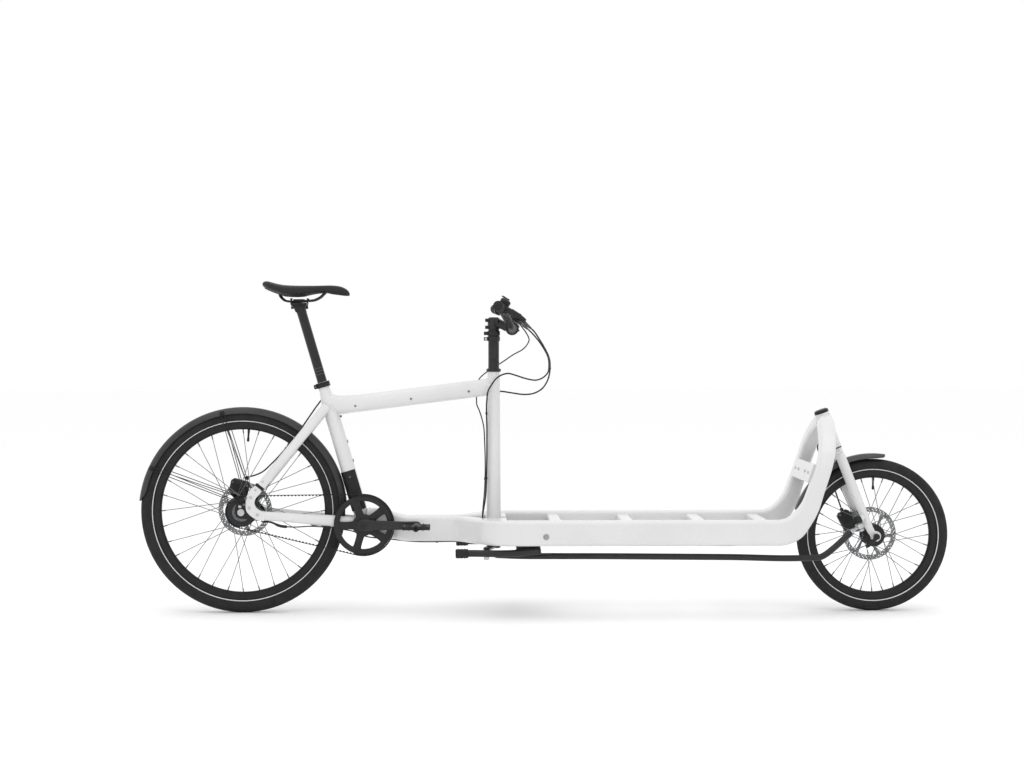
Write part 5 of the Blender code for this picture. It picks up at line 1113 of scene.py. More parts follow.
BAR_CLAMP = np.array([-0.108, 0, 0.910])
stem_clamp = [(0.0146, 0.9083), (0.0188, 0.9083), (0.0195, 0.9090), (0.0195, 0.9420), (0.0186, 0.9436),
              (0.0160, 0.9440),
              (0.0160, 0.9455), (0.0145, 0.9465), (0.0002, 0.9470), (0.0002, 0.9396), (0.0146, 0.9396)]
neck_rows = faired([(STEERING_X + 0.015, 0, 0.9275, 0.030, 0.030), (-0.142, 0, 0.9230, 0.029, 0.027),
                    (BAR_CLAMP[0] - 0.016, 0, 0.9130, 0.034, 0.026)], 20)
face_bore = [(0.0161, -0.0225), (0.0205, -0.0225), (0.0212, -0.0215), (0.0212, 0.0215), (0.0205, 0.0225),
             (0.0161, 0.0225)]
split = [(BAR_CLAMP[0] + a * 0.7, y, BAR_CLAMP[2] + b * 0.7) for y in (-0.015, 0.015) for a,
         b in ((0.015, 0.022), (-0.006, -0.026))]
stem_lugs = [carried([(x, 0, z) for x in (-0.1945, -0.1930, -0.1830, -0.1820)],
                     rounded_outline(np.array([0.020, 0.024, 0.024, 0.020]), 0.0110,
                                     0.003)) for z in (0.9145, 0.9370)]
piece_of("stem_forged", [turned(stem_clamp, steering_foot, (0, 0, 1), 48, True),
                         carried(neck_rows[:, :3], rounded_outline(neck_rows[:, 3], neck_rows[:, 4], 0.006)),
                         turned(face_bore, BAR_CLAMP, steps=48, closed=True), *stem_lugs], CRANK_BLACK, "steering",
         ["stem"],
         bevel=0.0006)
stem_bolts = [button_bolt((-0.1890, side * 0.0115, z), (0, side, 0), 0.0040,
                          0.0035) for z in (0.9145, 0.9370) for side in (-1, 1)]
stem_bolts += [button_bolt((BAR_CLAMP[0] + 0.0205, y, BAR_CLAMP[2] + dz), (1, 0, 0.1), 0.0035, 0.003)
               for y in (-0.014, 0.014) for dz in (-0.006, 0.006)]
piece_of("stem_bolts", stem_bolts, ANODISED_BLACK, "steering")

HALF_BAR = [(-0.108, 0.000, 0.910), (-0.108, 0.020, 0.910), (-0.109, 0.038, 0.9105), (-0.113, 0.060, 0.917),
            (-0.1205, 0.083, 0.9345), (-0.128, 0.105, 0.950), (-0.137, 0.135, 0.965), (-0.145, 0.165, 0.971),
            (-0.150, 0.200, 0.973), (-0.158, 0.310, 0.978)]


def routed(points, step=0.004):
    """A smooth line through points: on each stretch a cubic whose end slopes are the chords' weighted means.

    At a point with chords a and b before and after, the slope is the mean of the two chords' slopes, each weighted
    by the other's length."""
    points = np.asarray(points, float)
    length = np.linalg.norm(np.diff(points, axis=0), axis=1)
    chord = np.diff(points, axis=0) / length[:, None]
    inner = (length[1:, None] * chord[:-1] + length[:-1, None] * chord[1:]) / (length[1:] + length[:-1])[:, None]
    slope = np.vstack([chord[:1], inner, chord[-1:]])
    along = np.concatenate([[0.0], np.cumsum(length)])
    wanted = np.linspace(0.0, along[-1], max(8, int(along[-1] / step)))
    k = np.clip(np.searchsorted(along, wanted, side="right") - 1, 0, len(length) - 1)
    h = length[k][:, None]
    t = (wanted - along[k])[:, None] / h
    return ((1 + 2 * t) * (1 - t) ** 2 * points[k] + t * (1 - t) ** 2 * h * slope[k]
            + t ** 2 * (3 - 2 * t) * points[k + 1] + t ** 2 * (t - 1) * h * slope[k + 1])


half_line = routed(HALF_BAR, 0.003)
bar_line = np.vstack([half_line[::-1] * (1, -1, 1), half_line[1:]])
bar_radius = 0.0111 + 0.0048 * np.clip((0.040 - np.abs(bar_line[:, 1])) / 0.012, 0, 1)
piece_of("handlebar_riser", [carried(bar_line, oval_outline(bar_radius, bar_radius, 28), side=(0, 0, 1))],
         LEVER_BLACK,
         "steering", ["handlebar"], crease=50)


def grip_sleeve(hand):
    """A sleeve along the bar's end: its radius has a collar at each end and waves of 0.45 mm each 3.2 mm between."""
    along = np.linspace(0.0, 1.0, 150)
    inner, outer = np.array([-0.1500, 0.2005, 0.9730]), np.array([-0.1584, 0.3155, 0.9782])
    line = inner + (outer - inner) * along[:, None]
    length = np.linalg.norm(outer - inner)
    radius = 0.0154 + 0.00045 * np.sign(np.sin(along * length * math.tau / 0.0064)) * ((along > 0.1) & (along < 0.93))
    radius = np.where(along < 0.05, 0.0165, radius)
    radius = np.where(along > 0.97, 0.0154 - 0.0040 * ((along - 0.97) / 0.03) ** 2, radius)
    return carried(line * (1, hand, 1), oval_outline(radius, radius, 32), side=(0, 0, 1))


GRIP_RUBBER = surface_finish("kraton_grip_rubber", "1F1F20", "28282A", 0.010, 0.0009, 0.00005, 0.66, 0.06,
                             specular=0.28)
for hand, side_name in ((-1, "right"), (1, "left")):
    piece_of(f"grip_sleeve_{side_name}", [grip_sleeve(hand)], GRIP_RUBBER, "steering", [f"grip_{side_name}"],
             crease=28)

# ---------------------------------------------------------------- brake levers and shifter
# Hydraulic brake levers with a bar clamp, a master cylinder and a lidded reservoir, cast in aluminium and painted
# satin black, and a rotary thumb shifter on a round pod beside the right one.
SLOPE, NORMAL = np.array([0.848, 0, -0.530]), np.array([0.530, 0, 0.848])
SHIFTER = np.array([-0.1322, -0.154, 0.9928])
LID_GREY = surface_finish("reservoir_lid_grey_anodised", "4A4A4C", "3E3E40", 0.006, 0.0008, 0.00001, 0.35, 0.06,
                          specular=0.4)


def lever_pivot(hand):
    """The place that a brake lever turns about on one side of the bar."""
    return np.array([-0.104, hand * 0.163, 0.941])


for hand, side_name in ((-1, "right"), (1, "left")):
    centre = np.array([-0.1462, hand * 0.172, 0.9718])
    bar_axis = np.array([-0.14, hand, 0.05])
    clamp = [(0.0116, -0.0085), (0.0162, -0.0085), (0.0170, -0.0077), (0.0170, 0.0065), (0.0162, 0.0073),
             (0.0116, 0.0073)]
    rows = faired([(0.006, 0, 0, 0.016, 0.012), (0.016, 0, 0, 0.020, 0.018), (0.034, 0, 0, 0.0215, 0.0195),
                   (0.060, 0, 0, 0.0210, 0.0195), (0.078, 0, 0, 0.0180, 0.0160), (0.086, 0, 0, 0.0130, 0.0110)], 24)
    spine = centre + SLOPE * rows[:, :1] + NORMAL * 0.0068
    body_solid = carried(spine, rounded_outline(rows[:, 3], rows[:, 4], 0.0050))
    pivot = lever_pivot(hand)
    pin = [(0, -0.0125), (0.0045, -0.0125), (0.0050, -0.0118), (0.0030, -0.0104), (0.0030, 0.0040), (0, 0.0040)]
    lug = carried([centre + SLOPE * d + NORMAL * -0.0040 for d in (0.010, 0.012, 0.020, 0.022)],
                  rounded_outline(np.array([0.012, 0.016, 0.016, 0.012]), 0.009, 0.0025))
    piece_of(f"brake_master_cylinder_{side_name}",
             [turned(clamp, centre, bar_axis, 40, True), body_solid, lug, turned(pin, pivot, NORMAL, 20)],
             LEVER_BLACK, "steering", [f"brake_housing_{side_name}"], bevel=0.0005)
    lid_line = [centre + SLOPE * 0.048 + NORMAL * (0.0160 + lift) for lift in (0.0, 0.0012, 0.0018)]
    lid_size = np.array([0.0185, 0.0185, 0.0165])
    lid_shape = rounded_outline(lid_size, lid_size * 1.9, 0.004)
    lid = carried(lid_line, lid_shape, side=(0, 1, 0))
    lid_screws = [button_bolt(centre + SLOPE * d + NORMAL * 0.0176, NORMAL, 0.0019, 0.0012) for d in (0.0345, 0.0615)]
    piece_of(f"brake_reservoir_lid_{side_name}", [lid, *lid_screws], LID_GREY, "steering")
    nose = centre + SLOPE * 0.0800 + NORMAL * 0.002
    exit_place = np.array([-0.047, hand * 0.162, 0.905])
    sleeve = [(0, -0.004), (0.0060, -0.004), (0.0062, 0.004), (0.0052, 0.006), (0.0048, 0.014), (0.0040, 0.019),
              (0.0034, 0.028), (0, 0.030)]
    piece_of(f"brake_hose_nut_{side_name}", [turned(sleeve, exit_place - (exit_place - nose) * 0.86,
                                                    exit_place - nose, 24)],
             LID_GREY, "steering")
    rows = faired([(0.000, -0.006, 0, 0.0110, 0.0070), (0.003, 0.000, 0, 0.0130, 0.0084),
                   (0.006, 0.008, 0, 0.0130, 0.0085),
                   (0.018, 0.030, 0, 0.0115, 0.0080), (0.027, 0.062, 0, 0.0110, 0.0078),
                   (0.024, 0.094, 0, 0.0110, 0.0080),
                   (0.0215, 0.110, 0, 0.0100, 0.0085), (0.0212, 0.1135, 0, 0.0060, 0.0060)], 60)
    blade_line = pivot - NORMAL * 0.006 + SLOPE * rows[:, :1] + np.array([0, hand, 0]) * rows[:, 1:2]
    blade_shape = rounded_outline(rows[:, 3], rows[:, 4], 0.0026)
    hollow = 0.0013 * np.clip((rows[:, 1] - 0.045) / 0.012, 0, 1) * np.clip((0.104 - rows[:, 1]) / 0.008, 0, 1)
    blade_shape[..., 0] -= np.sign(blade_shape[..., 0]) * hollow[:, None] * (blade_shape[..., 0] > 0) * (
        np.abs(blade_shape[..., 1]) < 0.002)
    piece_of(f"brake_lever_blade_{side_name}", [carried(blade_line, blade_shape, side=SLOPE)], LEVER_BLACK,
             f"brake_lever_{side_name}", [f"brake_lever_{side_name}"], crease=40)

pod_profile = [(0, -0.0135), (0.0125, -0.0135), (0.0135, -0.0125), (0.0168, -0.0092), (0.0170, -0.0060),
               (0.0164, -0.0055),
               (0.0164, -0.0045), (0.0170, -0.0040), (0.0170, 0.0035), (0.0162, 0.0048), (0.0120, 0.0078),
               (0.0100, 0.0086),
               (0, 0.0090)]
pod_window = [(0.0102, 0.0080), (0.0130, 0.0066), (0.0133, 0.0071), (0.0104, 0.0088)]
barrel = [(0, -0.004), (0.0042, -0.004), (0.0042, 0.004), (0.0036, 0.005), (0.0042, 0.006), (0.0042, 0.012),
          (0.0026, 0.015),
          (0.0026, 0.024), (0, 0.024)]
cable_start = np.array([-0.101, -0.149, 0.9450])
saddle_block = [carried([np.array([-0.1462, y, 0.9718]) + NORMAL * 0.012 for y in (-0.1625, -0.1610, -0.1470,
                                                                                   -0.1455)],
                        rounded_outline(np.array([0.014, 0.018, 0.018, 0.014]), 0.012, 0.003), side=SLOPE)]
piece_of("shifter_pod", [turned(pod_profile, SHIFTER, NORMAL, 44), *saddle_block,
                         turned(barrel, cable_start - (0.009, -0.001, -0.018), (0.45, 0.05, -0.89), 18)], PEDAL_BLACK,
         "steering")
piece_of("shifter_gear_window", [turned(pod_window, SHIFTER, NORMAL, 40, True)], LID_GREY, "steering")
SHIFT_PIVOT = SHIFTER + NORMAL * 0.0110
rows = faired([(0.0065, -0.001, 0, 0.0060, 0.0030), (0.0050, 0.000, 0, 0.0110, 0.0034),
               (-0.004, 0.003, 0, 0.0104, 0.0034),
               (-0.0120, 0.0080, 0, 0.0110, 0.0036), (-0.0165, 0.0110, 0, 0.0110, 0.0036),
               (-0.0180, 0.0120, 0, 0.0070, 0.0030)], 30)
paddle_line = SHIFT_PIVOT + SLOPE * rows[:, :1] + np.array([0, 1, 0]) * rows[:, 1:2]
paddle_shape = rounded_outline(rows[:, 3], rows[:, 4], 0.0014)
pads = [carried([SHIFT_PIVOT + SLOPE * d + (0, y, 0) + NORMAL * (0.0018 + n) for n in (0, 0.0007)],
                rounded_outline(0.0014, 0.009, 0.0006), side=SLOPE) for d, y in ((-0.0090, 0.0062), (-0.0118, 0.0079),
                                                                                 (-0.0146, 0.0097))]
piece_of("shift_paddle", [carried(paddle_line, paddle_shape, side=(0.4, 0.9, 0)), *pads], PEDAL_BLACK, "shift_lever",
         ["shift_lever"], crease=40)

# ---------------------------------------------------------------- fork, head bearings and front fittings
# A welded aluminium fork in the frame's white powder coat, with forged dropouts. A boss on the right leg carries the
# rubber-booted ball joint of the steering push rod. Bearing cups and the top cap are black.
HEAD_BOTTOM, HEAD_TOP = np.array([0.9325, 0, 0.526]), np.array([0.892, 0, 0.638])
HEAD_UP = (HEAD_TOP - HEAD_BOTTOM) / np.linalg.norm(HEAD_TOP - HEAD_BOTTOM)
HEAD_LENGTH = np.linalg.norm(HEAD_TOP - HEAD_BOTTOM)
ROD_FRONT = np.array([0.996, -0.105, 0.283])
top = HEAD_LENGTH + 0.0006
head_profile = [(0.0149, 0), (0.0233, 0), (0.0240, 0.0008), (0.0240, 0.0120), (0.0234, 0.0130),
                (0.0234, HEAD_LENGTH - 0.0130),
                (0.0240, HEAD_LENGTH - 0.0120), (0.0240, HEAD_LENGTH - 0.0008), (0.0233, HEAD_LENGTH),
                (0.0149, HEAD_LENGTH)]
piece_of("head_tube_turned", [turned(head_profile, HEAD_BOTTOM, HEAD_UP, 56, True)], WHITE_COAT, "frame",
         ["head_tube"])
steerer = [(0, -0.036), (0.0180, -0.036), (0.0192, -0.034), (0.0235, -0.008), (0.0235, -0.0040), (0, -0.0040)]
race = [(0, -0.0040), (0.0236, -0.0040), (0.0242, -0.0034), (0.0242, -0.0012), (0.0236, -0.0006), (0.0143, -0.0006),
        (0.0143, top), (0.0228, top), (0.0235, top + 0.0007), (0.0235, top + 0.0060), (0.0222, top + 0.0085),
        (0.0180, top + 0.0112), (0.0060, top + 0.0120), (0.0055, top + 0.0105), (0, top + 0.0105)]
crown_line = [HEAD_BOTTOM + HEAD_UP * -0.0215 + (0, y, 0) for y in (-0.0655, -0.0640, -0.055, 0, 0.055, 0.0640,
                                                                    0.0655)]
crown_size = np.array([0.020, 0.025, 0.027, 0.030, 0.027, 0.025, 0.020])
fork_solids = [turned(steerer, HEAD_BOTTOM, HEAD_UP, 48),
               carried(crown_line, rounded_outline(crown_size, crown_size + 0.002, 0.0085), side=HEAD_UP)]
LEG = [(0.9380, 0.065, 0.510, 0.0120, 0.0120), (0.9400, 0.065, 0.505, 0.0152, 0.0152),
       (0.958, 0.065, 0.458, 0.0158, 0.0160),
       (1.018, 0.064, 0.312, 0.0128, 0.0134), (1.038, 0.0620, 0.266, 0.0095, 0.0118),
       (1.0500, 0.0590, 0.2475, 0.0065, 0.0100)]
eye = [(0.0066, 0.0503), (0.0155, 0.0503), (0.0165, 0.0513), (0.0165, 0.0628), (0.0155, 0.0638), (0.0120, 0.0638),
       (0.0115, 0.0646), (0.0066, 0.0646)]
for hand in (-1, 1):
    rows = faired(LEG, 60)
    rows[:, 1] *= hand
    fork_solids.append(carried(rows[:, :3], oval_outline(rows[:, 3], rows[:, 4], 32)))
    fork_solids.append(turned(eye, FRONT_AXLE, (0, hand, 0), 44, True))
boss_line = faired([(1.0170, -0.0650, 0.3140, 0.0100, 0), (1.008, -0.082, 0.3075, 0.0088, 0),
                    (*(ROD_FRONT + HEAD_UP * 0.0195 + (0, 0.004, 0)), 0.0098, 0)], 14)
fork_solids.append(carried(boss_line[:, :3], oval_outline(boss_line[:, 3], boss_line[:, 3], 28)))
piece_of("fork_welded", fork_solids, WHITE_COAT, "fork", ["fork"])
piece_of("head_bearing_race_and_cap", [turned(race, HEAD_BOTTOM, HEAD_UP, 48)], ANODISED_BLACK, "fork")
piece_of("head_cap_bolt", [button_bolt(HEAD_BOTTOM + HEAD_UP * (top + 0.0100), HEAD_UP, 0.0048, 0.0035)], STEEL,
         "fork")
crown_bolt = HEAD_BOTTOM + HEAD_UP * -0.0215 + np.array([0.0145, 0, 0.0052])
piece_of("crown_bolt", [turned([(0, -0.004), (0.0048, -0.004), (0.0048, 0.006), (0.0038, 0.0075), (0, 0.0075)],
                               crown_bolt,
                               (0.94, 0, 0.34), 20)], SPOKE_STEEL, "fork")
boot = [(0, 0.0105), (0.0118, 0.0105), (0.0126, 0.0115), (0.0134, 0.0150), (0.0124, 0.0168), (0.0135, 0.0195),
        (0.0124, 0.0220), (0.0130, 0.0245), (0.0115, 0.0270), (0.0108, 0.0300), (0.0080, 0.0320), (0, 0.0320)]
piece_of("push_rod_rubber_boot", [turned(boot, ROD_FRONT, HEAD_UP, 36)], GRIP_RUBBER, "fork")
front_stud = [(0, -0.018), (0.0078, -0.018), (0.0085, -0.0172), (0.0085, -0.0112), (0.0078, -0.0105),
              (0.0050, -0.0105),
              (0.0050, 0.012), (0, 0.012)]
piece_of("push_rod_front_stud", [turned(front_stud, ROD_FRONT, HEAD_UP, 24)], STEEL, "fork")

skewer = [(0, -0.0880), (0.0070, -0.0880), (0.0082, -0.0868), (0.0100, -0.0800), (0.0100, -0.0705), (0.0092, -0.0695),
          (0.0060, -0.0695), (0.0060, 0.0695), (0.0088, 0.0695), (0.0095, 0.0702), (0.0095, 0.0760), (0.0086, 0.0770),
          (0, 0.0770)]
rows = faired([(0.006, -0.084, 0.005, 0.0060, 0.0080), (0.002, -0.084, 0.001, 0.0070, 0.0125),
               (-0.016, -0.085, -0.015, 0.0070, 0.0120),
               (-0.030, -0.0857, -0.027, 0.0070, 0.0130), (-0.036, -0.086, -0.032, 0.0055, 0.0080)], 30)
piece_of("quick_release_skewer", [turned(skewer, FRONT_AXLE, steps=36),
                                  carried(rows[:, :3] + FRONT_AXLE, rounded_outline(rows[:, 3], rows[:, 4], 0.0025))],
         ANODISED_BLACK, "front_axle", ["front_axle"], crease=40)

# ---------------------------------------------------------------- brake calipers
# Two-piston calipers of forged aluminium, anodised black, that straddle the discs. Each has pressed-in piston caps,
# two mounting bolts through a bracket, and a banjo fitting for its hose.
for node, body in (("rear_caliper", "frame"), ("front_caliper", "fork")):
    for material_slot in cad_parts[node].material_slots:
        material_slot.material = LEVER_BLACK


def caliper_details(centre, tilt, outward, faces, reach, bolt_reach):
    """Piston caps on both faces and two long bolt lugs beside the body."""
    lean = math.radians(tilt)
    side, long = np.array([math.sin(lean), 0, math.cos(lean)]), np.array([math.cos(lean), 0, -math.sin(lean)])
    solids = []
    for y, way in ((faces[0], -1), (faces[1], 1)):
        cap = [(0, -0.001), (0.0125, -0.001), (0.0125, 0.0012), (0.0112, 0.0022), (0.0070, 0.0022), (0.0064, 0.0014),
               (0, 0.0012)]
        solids.append(turned(cap, centre + np.array([0, y, 0]) - long * reach * 0.15, (0, way, 0), 32))
    for shift in (-bolt_reach, bolt_reach):
        foot_place = centre + long * shift + side * outward * 0.012
        lugs_line = [foot_place + np.array([0, y, 0]) for y in (faces[0] - 0.0030, faces[0] - 0.0022,
                                                                faces[0] + 0.008, faces[0] + 0.009)]
        solids.append(carried(lugs_line, oval_outline(np.array([0.0062, 0.0072, 0.0072, 0.0062]),
                                                      np.array([0.0062, 0.0072, 0.0072, 0.0062]), 20), side=side))
    return solids, side, long


rear_solids, rear_side, rear_long = caliper_details(np.array([-0.988, 0, 0.398]), 15, 1, (0.0395, 0.0640), 0.030,
                                                    0.024)
banjo_place = np.array([-0.9600, 0.0560, 0.4300])
banjo = [(0, -0.006), (0.0058, -0.006), (0.0062, -0.005), (0.0062, 0.005), (0.0058, 0.006), (0, 0.006)]
rear_solids.append(turned(banjo, banjo_place + (-0.004, 0, -0.002), (0.3, 1, 0.1), 24))
rear_bracket = faired([(-1.0200, 0.0585, 0.3980, 0.0070, 0.0140), (-1.0120, 0.0600, 0.3780, 0.0070, 0.0140),
                       (-0.9900, 0.0660, 0.3600, 0.0060, 0.0140), (-0.9680, 0.0700, 0.3560, 0.0050, 0.0160)], 20)
rear_solids.append(carried(rear_bracket[:, :3], rounded_outline(rear_bracket[:, 3], rear_bracket[:, 4], 0.002)))
piece_of("rear_caliper_fittings", rear_solids, ANODISED_BLACK, "frame")
front_solids, front_side, front_long = caliper_details(np.array([0.980, 0, 0.288]), 62, -1, (0.0265, 0.0500), 0.030,
                                                       0.026)
front_solids.append(turned(banjo, np.array([0.9660, 0.0440, 0.3220]), (0.2, 1, 0), 24))
front_bracket = faired([(0.9860, 0.0490, 0.3120, 0.0060, 0.0120), (0.9960, 0.0540, 0.3080, 0.0060, 0.0140),
                        (1.0120, 0.0600, 0.3020, 0.0060, 0.0160)], 14)
front_solids.append(carried(front_bracket[:, :3], rounded_outline(front_bracket[:, 3], front_bracket[:, 4], 0.002)))
piece_of("front_caliper_fittings", front_solids, ANODISED_BLACK, "fork")
caliper_bolts = [button_bolt(np.array([-0.988, 0.0610, 0.398]) + rear_long * d + rear_side * 0.012, (0, 1, 0), 0.0045,
                             0.003)
                 for d in (-0.024, 0.024)]
caliper_bolts += [button_bolt(np.array([-0.988, 0.0362, 0.398]) + rear_long * d + rear_side * 0.012, (0, -1, 0),
                              0.0040, 0.003)
                  for d in (-0.024, 0.024)]
piece_of("rear_caliper_bolts", caliper_bolts, SPOKE_STEEL, "frame")
front_bolts = [button_bolt(np.array([0.980, 0.0232, 0.288]) + front_long * d - front_side * 0.012, (0, -1, 0), 0.0040,
                           0.003)
               for d in (-0.026, 0.026)]
piece_of("front_caliper_bolts", front_bolts, SPOKE_STEEL, "fork")

# ---------------------------------------------------------------- mudguards
# Thin polycarbonate guards, moulded with two ridges along their length, are rounded across and end in points. The
# rear one is held by pairs of black steel wire stays, screwed to the dropouts; the front one sits on the fork crown.


def guard_shell(centre, radius, half_width, skirt, angles, wall=0.0020):
    """A curved channel: at each angle the section falls off as the third power of the share across.

    The half width and the skirt are arrays along the angles, so that an end can narrow to a point. Two ridges of
    0.6 mm run along it at 0.42 of the half width."""
    share = np.linspace(-1, 1, 29)
    turns = np.radians(angles)
    half_width, skirt = np.broadcast_to(half_width, turns.shape), np.broadcast_to(skirt, turns.shape)
    fall = skirt[:, None] * np.abs(share) ** 3
    ridge = 0.0006 * np.exp(-((np.abs(share) - 0.42) / 0.05) ** 2)
    layers = []
    for depth, keep in ((0.0, 1.0), (wall, 0.0)):
        reach = radius - fall - depth + keep * ridge
        across = half_width[:, None] * share * (1 - depth / 0.03)
        layer = np.stack([centre[0] + reach * np.cos(turns)[:, None], np.broadcast_to(across, reach.shape),
                          centre[2] + reach * np.sin(turns)[:, None]], -1)
        layers.append(layer if keep else layer[:, ::-1])
    return skinned(np.concatenate(layers, 1))


def pointed(angles, start, finish, least):
    """A share that rises from least at the start angle to one at the finish angle along a quarter of a circle."""
    t = np.clip((angles - start) / (finish - start), 0, 1)
    return least + (1 - least) * np.sqrt(1 - (1 - t) ** 2)


GUARD_GREY = surface_finish("polycarbonate_guard_dark_grey", "2E2E2F", "282829", 0.03, 0.0016, 0.00003, 0.42, 0.06,
                            specular=0.42)
# the front guard is the same polycarbonate as the rear one, painted lighter to stand in for the brighter light that
# falls on it
FRONT_GUARD_GREY_PAINTED_LIGHTER = surface_finish("polycarbonate_guard_painted_lighter", "3A3A3B", "343435", 0.03, 0.0016, 0.00003, 0.42,
                                  0.06,
                                  specular=0.42)
REAR_GUARD_RADIUS, REAR_GUARD_HALF_WIDTH, REAR_GUARD_SKIRT = 0.3325, 0.030, 0.019
FRONT_GUARD_RADIUS, FRONT_GUARD_HALF_WIDTH, FRONT_GUARD_SKIRT = 0.263, 0.027, 0.014
STAY_FOOT_Y, STAY_HEAD_Y, STAY_HEAD_REACH, STAY_WIRE_RADIUS = 0.0835, 0.0290, 0.3215, 0.0013
rear_angles = np.linspace(2.5, 174.5, 150)
rear_tip = pointed(rear_angles, 174.5, 167.0, 0.30)
front_end = pointed(rear_angles, 2.5, 5.5, 0.80)
rear_skirt = REAR_GUARD_SKIRT * rear_tip ** 3 * (0.7 + 0.3 * front_end)
rear_guard = guard_shell(REAR_AXLE, REAR_GUARD_RADIUS, REAR_GUARD_HALF_WIDTH * rear_tip * front_end, rear_skirt,
                         rear_angles)
piece_of("rear_mudguard_shell", [rear_guard], GUARD_GREY, "frame", ["rear_fender"], crease=50)
stays, stay_screws, stay_clips = [], [], []
for hand in (-1, 1):
    for (x, z), angle in (((-0.9535, 0.372), 101.5), ((-0.9585, 0.352), 154.5)):
        turn = math.radians(angle)
        out, along = np.array([math.cos(turn), 0, math.sin(turn)]), np.array([-math.sin(turn), 0, math.cos(turn)])
        for spread in (-1, 1):
            foot_place = np.array([x, hand * STAY_FOOT_Y, z]) + along * 0.0022 * spread
            head_place = REAR_AXLE + out * STAY_HEAD_REACH + along * 0.0055 * spread + (0, hand * STAY_HEAD_Y, 0)
            bend = foot_place + (head_place - foot_place) * 0.9
            line = routed([foot_place, foot_place + (head_place - foot_place) * 0.45, bend, head_place], 0.012)
            stays.append(carried(line, oval_outline(STAY_WIRE_RADIUS, STAY_WIRE_RADIUS, 10)))
        clip_line = [REAR_AXLE + out * (0.3160 + d) + (0, hand * 0.0300, 0) for d in (0, 0.001, 0.0095, 0.0105)]
        stay_clips.append(carried(clip_line, rounded_outline(np.array([0.003, 0.0045, 0.0045, 0.003]), 0.0150,
                                                             0.0012)))
        stay_screws.append(button_bolt((x, hand * 0.0850, z), (0, hand, 0), 0.0042, 0.0026))
piece_of("rear_mudguard_stays", stays, ANODISED_BLACK, "frame")
piece_of("rear_mudguard_stay_clips", stay_clips, PEDAL_BLACK, "frame", bevel=0.0004)
piece_of("rear_mudguard_stay_screws", stay_screws, SPOKE_STEEL, "frame")

front_angles = np.linspace(81, 162, 90)
front_tip = pointed(front_angles, 81, 93, 0.30)
front_tail = pointed(front_angles, 162, 157, 0.75)
front_guard = guard_shell(FRONT_AXLE, FRONT_GUARD_RADIUS, FRONT_GUARD_HALF_WIDTH * front_tip * front_tail,
                          FRONT_GUARD_SKIRT * (0.1 + 0.9 * front_tip),
                          front_angles)
bracket_ends = np.array([FRONT_AXLE + (-0.1120, 0, 0.2340), HEAD_BOTTOM + HEAD_UP * -0.0365 + (0.006, 0, -0.004)])
bracket_line = bracket_ends[0] + (bracket_ends[1] - bracket_ends[0]) * np.linspace(0, 1, 6)[:, None]
piece_of("front_mudguard_shell", [front_guard], FRONT_GUARD_GREY_PAINTED_LIGHTER, "fork", ["front_fender"],
         crease=50)
piece_of("front_mudguard_bracket", [carried(bracket_line, rounded_outline(0.020, 0.012, 0.003))], PEDAL_BLACK, "fork",
         bevel=0.0005)

# ---------------------------------------------------------------- stand and push rod
# A two-legged steel stand on a cross tube folds back under the rails; it is powder coated satin black and has rubber
# feet and a return spring. The push rod is a bent steel tube with ball joints that links the column to the fork.
STAND_PIVOT, STAND_LEG_Y = np.array([-0.033, 0, 0.214]), 0.190
STAND_LEG_RADIUS, STAND_HOLE_RADIUS, EAR_INNER_Y, EAR_THICKNESS = 0.0110, 0.0078, 0.165, 0.012
ROD_TUBE_RADIUS, ROD_END_RADIUS = 0.0100, 0.0080
STEEL_BLACK = surface_finish("satin_black_powder_coat", "202021", "1A1A1B", 0.020, 0.0012, 0.00004, 0.40, 0.07,
                             specular=0.36, coat=0.05)
bracket_top = [(-0.0615, y, 0.2262) for y in (-0.1770, -0.1755, 0.1755, 0.1770)]
bracket_plate = carried(bracket_top, rounded_outline(0.0086, np.array([0.072, 0.077, 0.077, 0.072]), 0.003),
                        side=(0, 0, 1))
ear = softened([(-0.100, 0.2235), (-0.100, 0.212), (-0.060, 0.203), (-0.030, 0.2010), (-0.0225, 0.208),
                (-0.0225, 0.2235)], 2)
ears = [pierced_plate([ear, circle_points(STAND_PIVOT[0], STAND_PIVOT[2], STAND_HOLE_RADIUS, 24)], y,
                      y + EAR_THICKNESS)
        for y in (-0.177, 0.165)]
piece_of("stand_bracket_folded", [bracket_plate, *ears], STEEL_BLACK, "frame", ["stand_bracket"],
         bevel=0.0008)
piece_of("stand_bracket_bolts", [button_bolt((x, hand * EAR_INNER_Y, z), (0, -hand, 0), 0.0048, 0.0030)
                                 for hand in (-1, 1) for x, z in ((-0.0880, 0.2180), (-0.0560, 0.2125))], STEEL,
         "frame")
cross_tube = [(0, -0.1960), (0.0066, -0.1960), (0.0075, -0.1950), (0.0075, 0.1950), (0.0066, 0.1960), (0, 0.1960)]
legs, feet = [turned(cross_tube, STAND_PIVOT, steps=28)], []
for hand in (-1, 1):
    y = hand * STAND_LEG_Y
    line = routed([(-0.0220, y, 0.2140), (-0.0500, y, 0.2125), (-0.0900, y, 0.2085), (-0.2520, y, 0.2075)], 0.004)
    size = np.interp(np.arange(len(line)), [0, 2, len(line) - 1], [0.0095, STAND_LEG_RADIUS, STAND_LEG_RADIUS])
    legs.append(carried(line, oval_outline(size, size, 28)))
    along = np.linspace(0, 1, 34)
    foot_line = np.array([-0.2490, y, 0.2070]) + along[:, None] * np.array([-0.0400, 0, -0.0005])
    foot_size = 0.0147 + 0.0004 * np.sign(np.sin(along * 26)) * ((along > 0.15) & (along < 0.85))
    foot_size = np.where(along < 0.04, 0.0128, np.where(along > 0.96, 0.0125, foot_size))
    feet.append(carried(foot_line, oval_outline(foot_size, foot_size, 28)))
piece_of("stand_legs", legs, STEEL_BLACK, "stand", ["stand"])
piece_of("stand_rubber_feet", feet, GRIP_RUBBER, "stand", crease=28)
turns = np.linspace(0, math.tau * 11, 200)
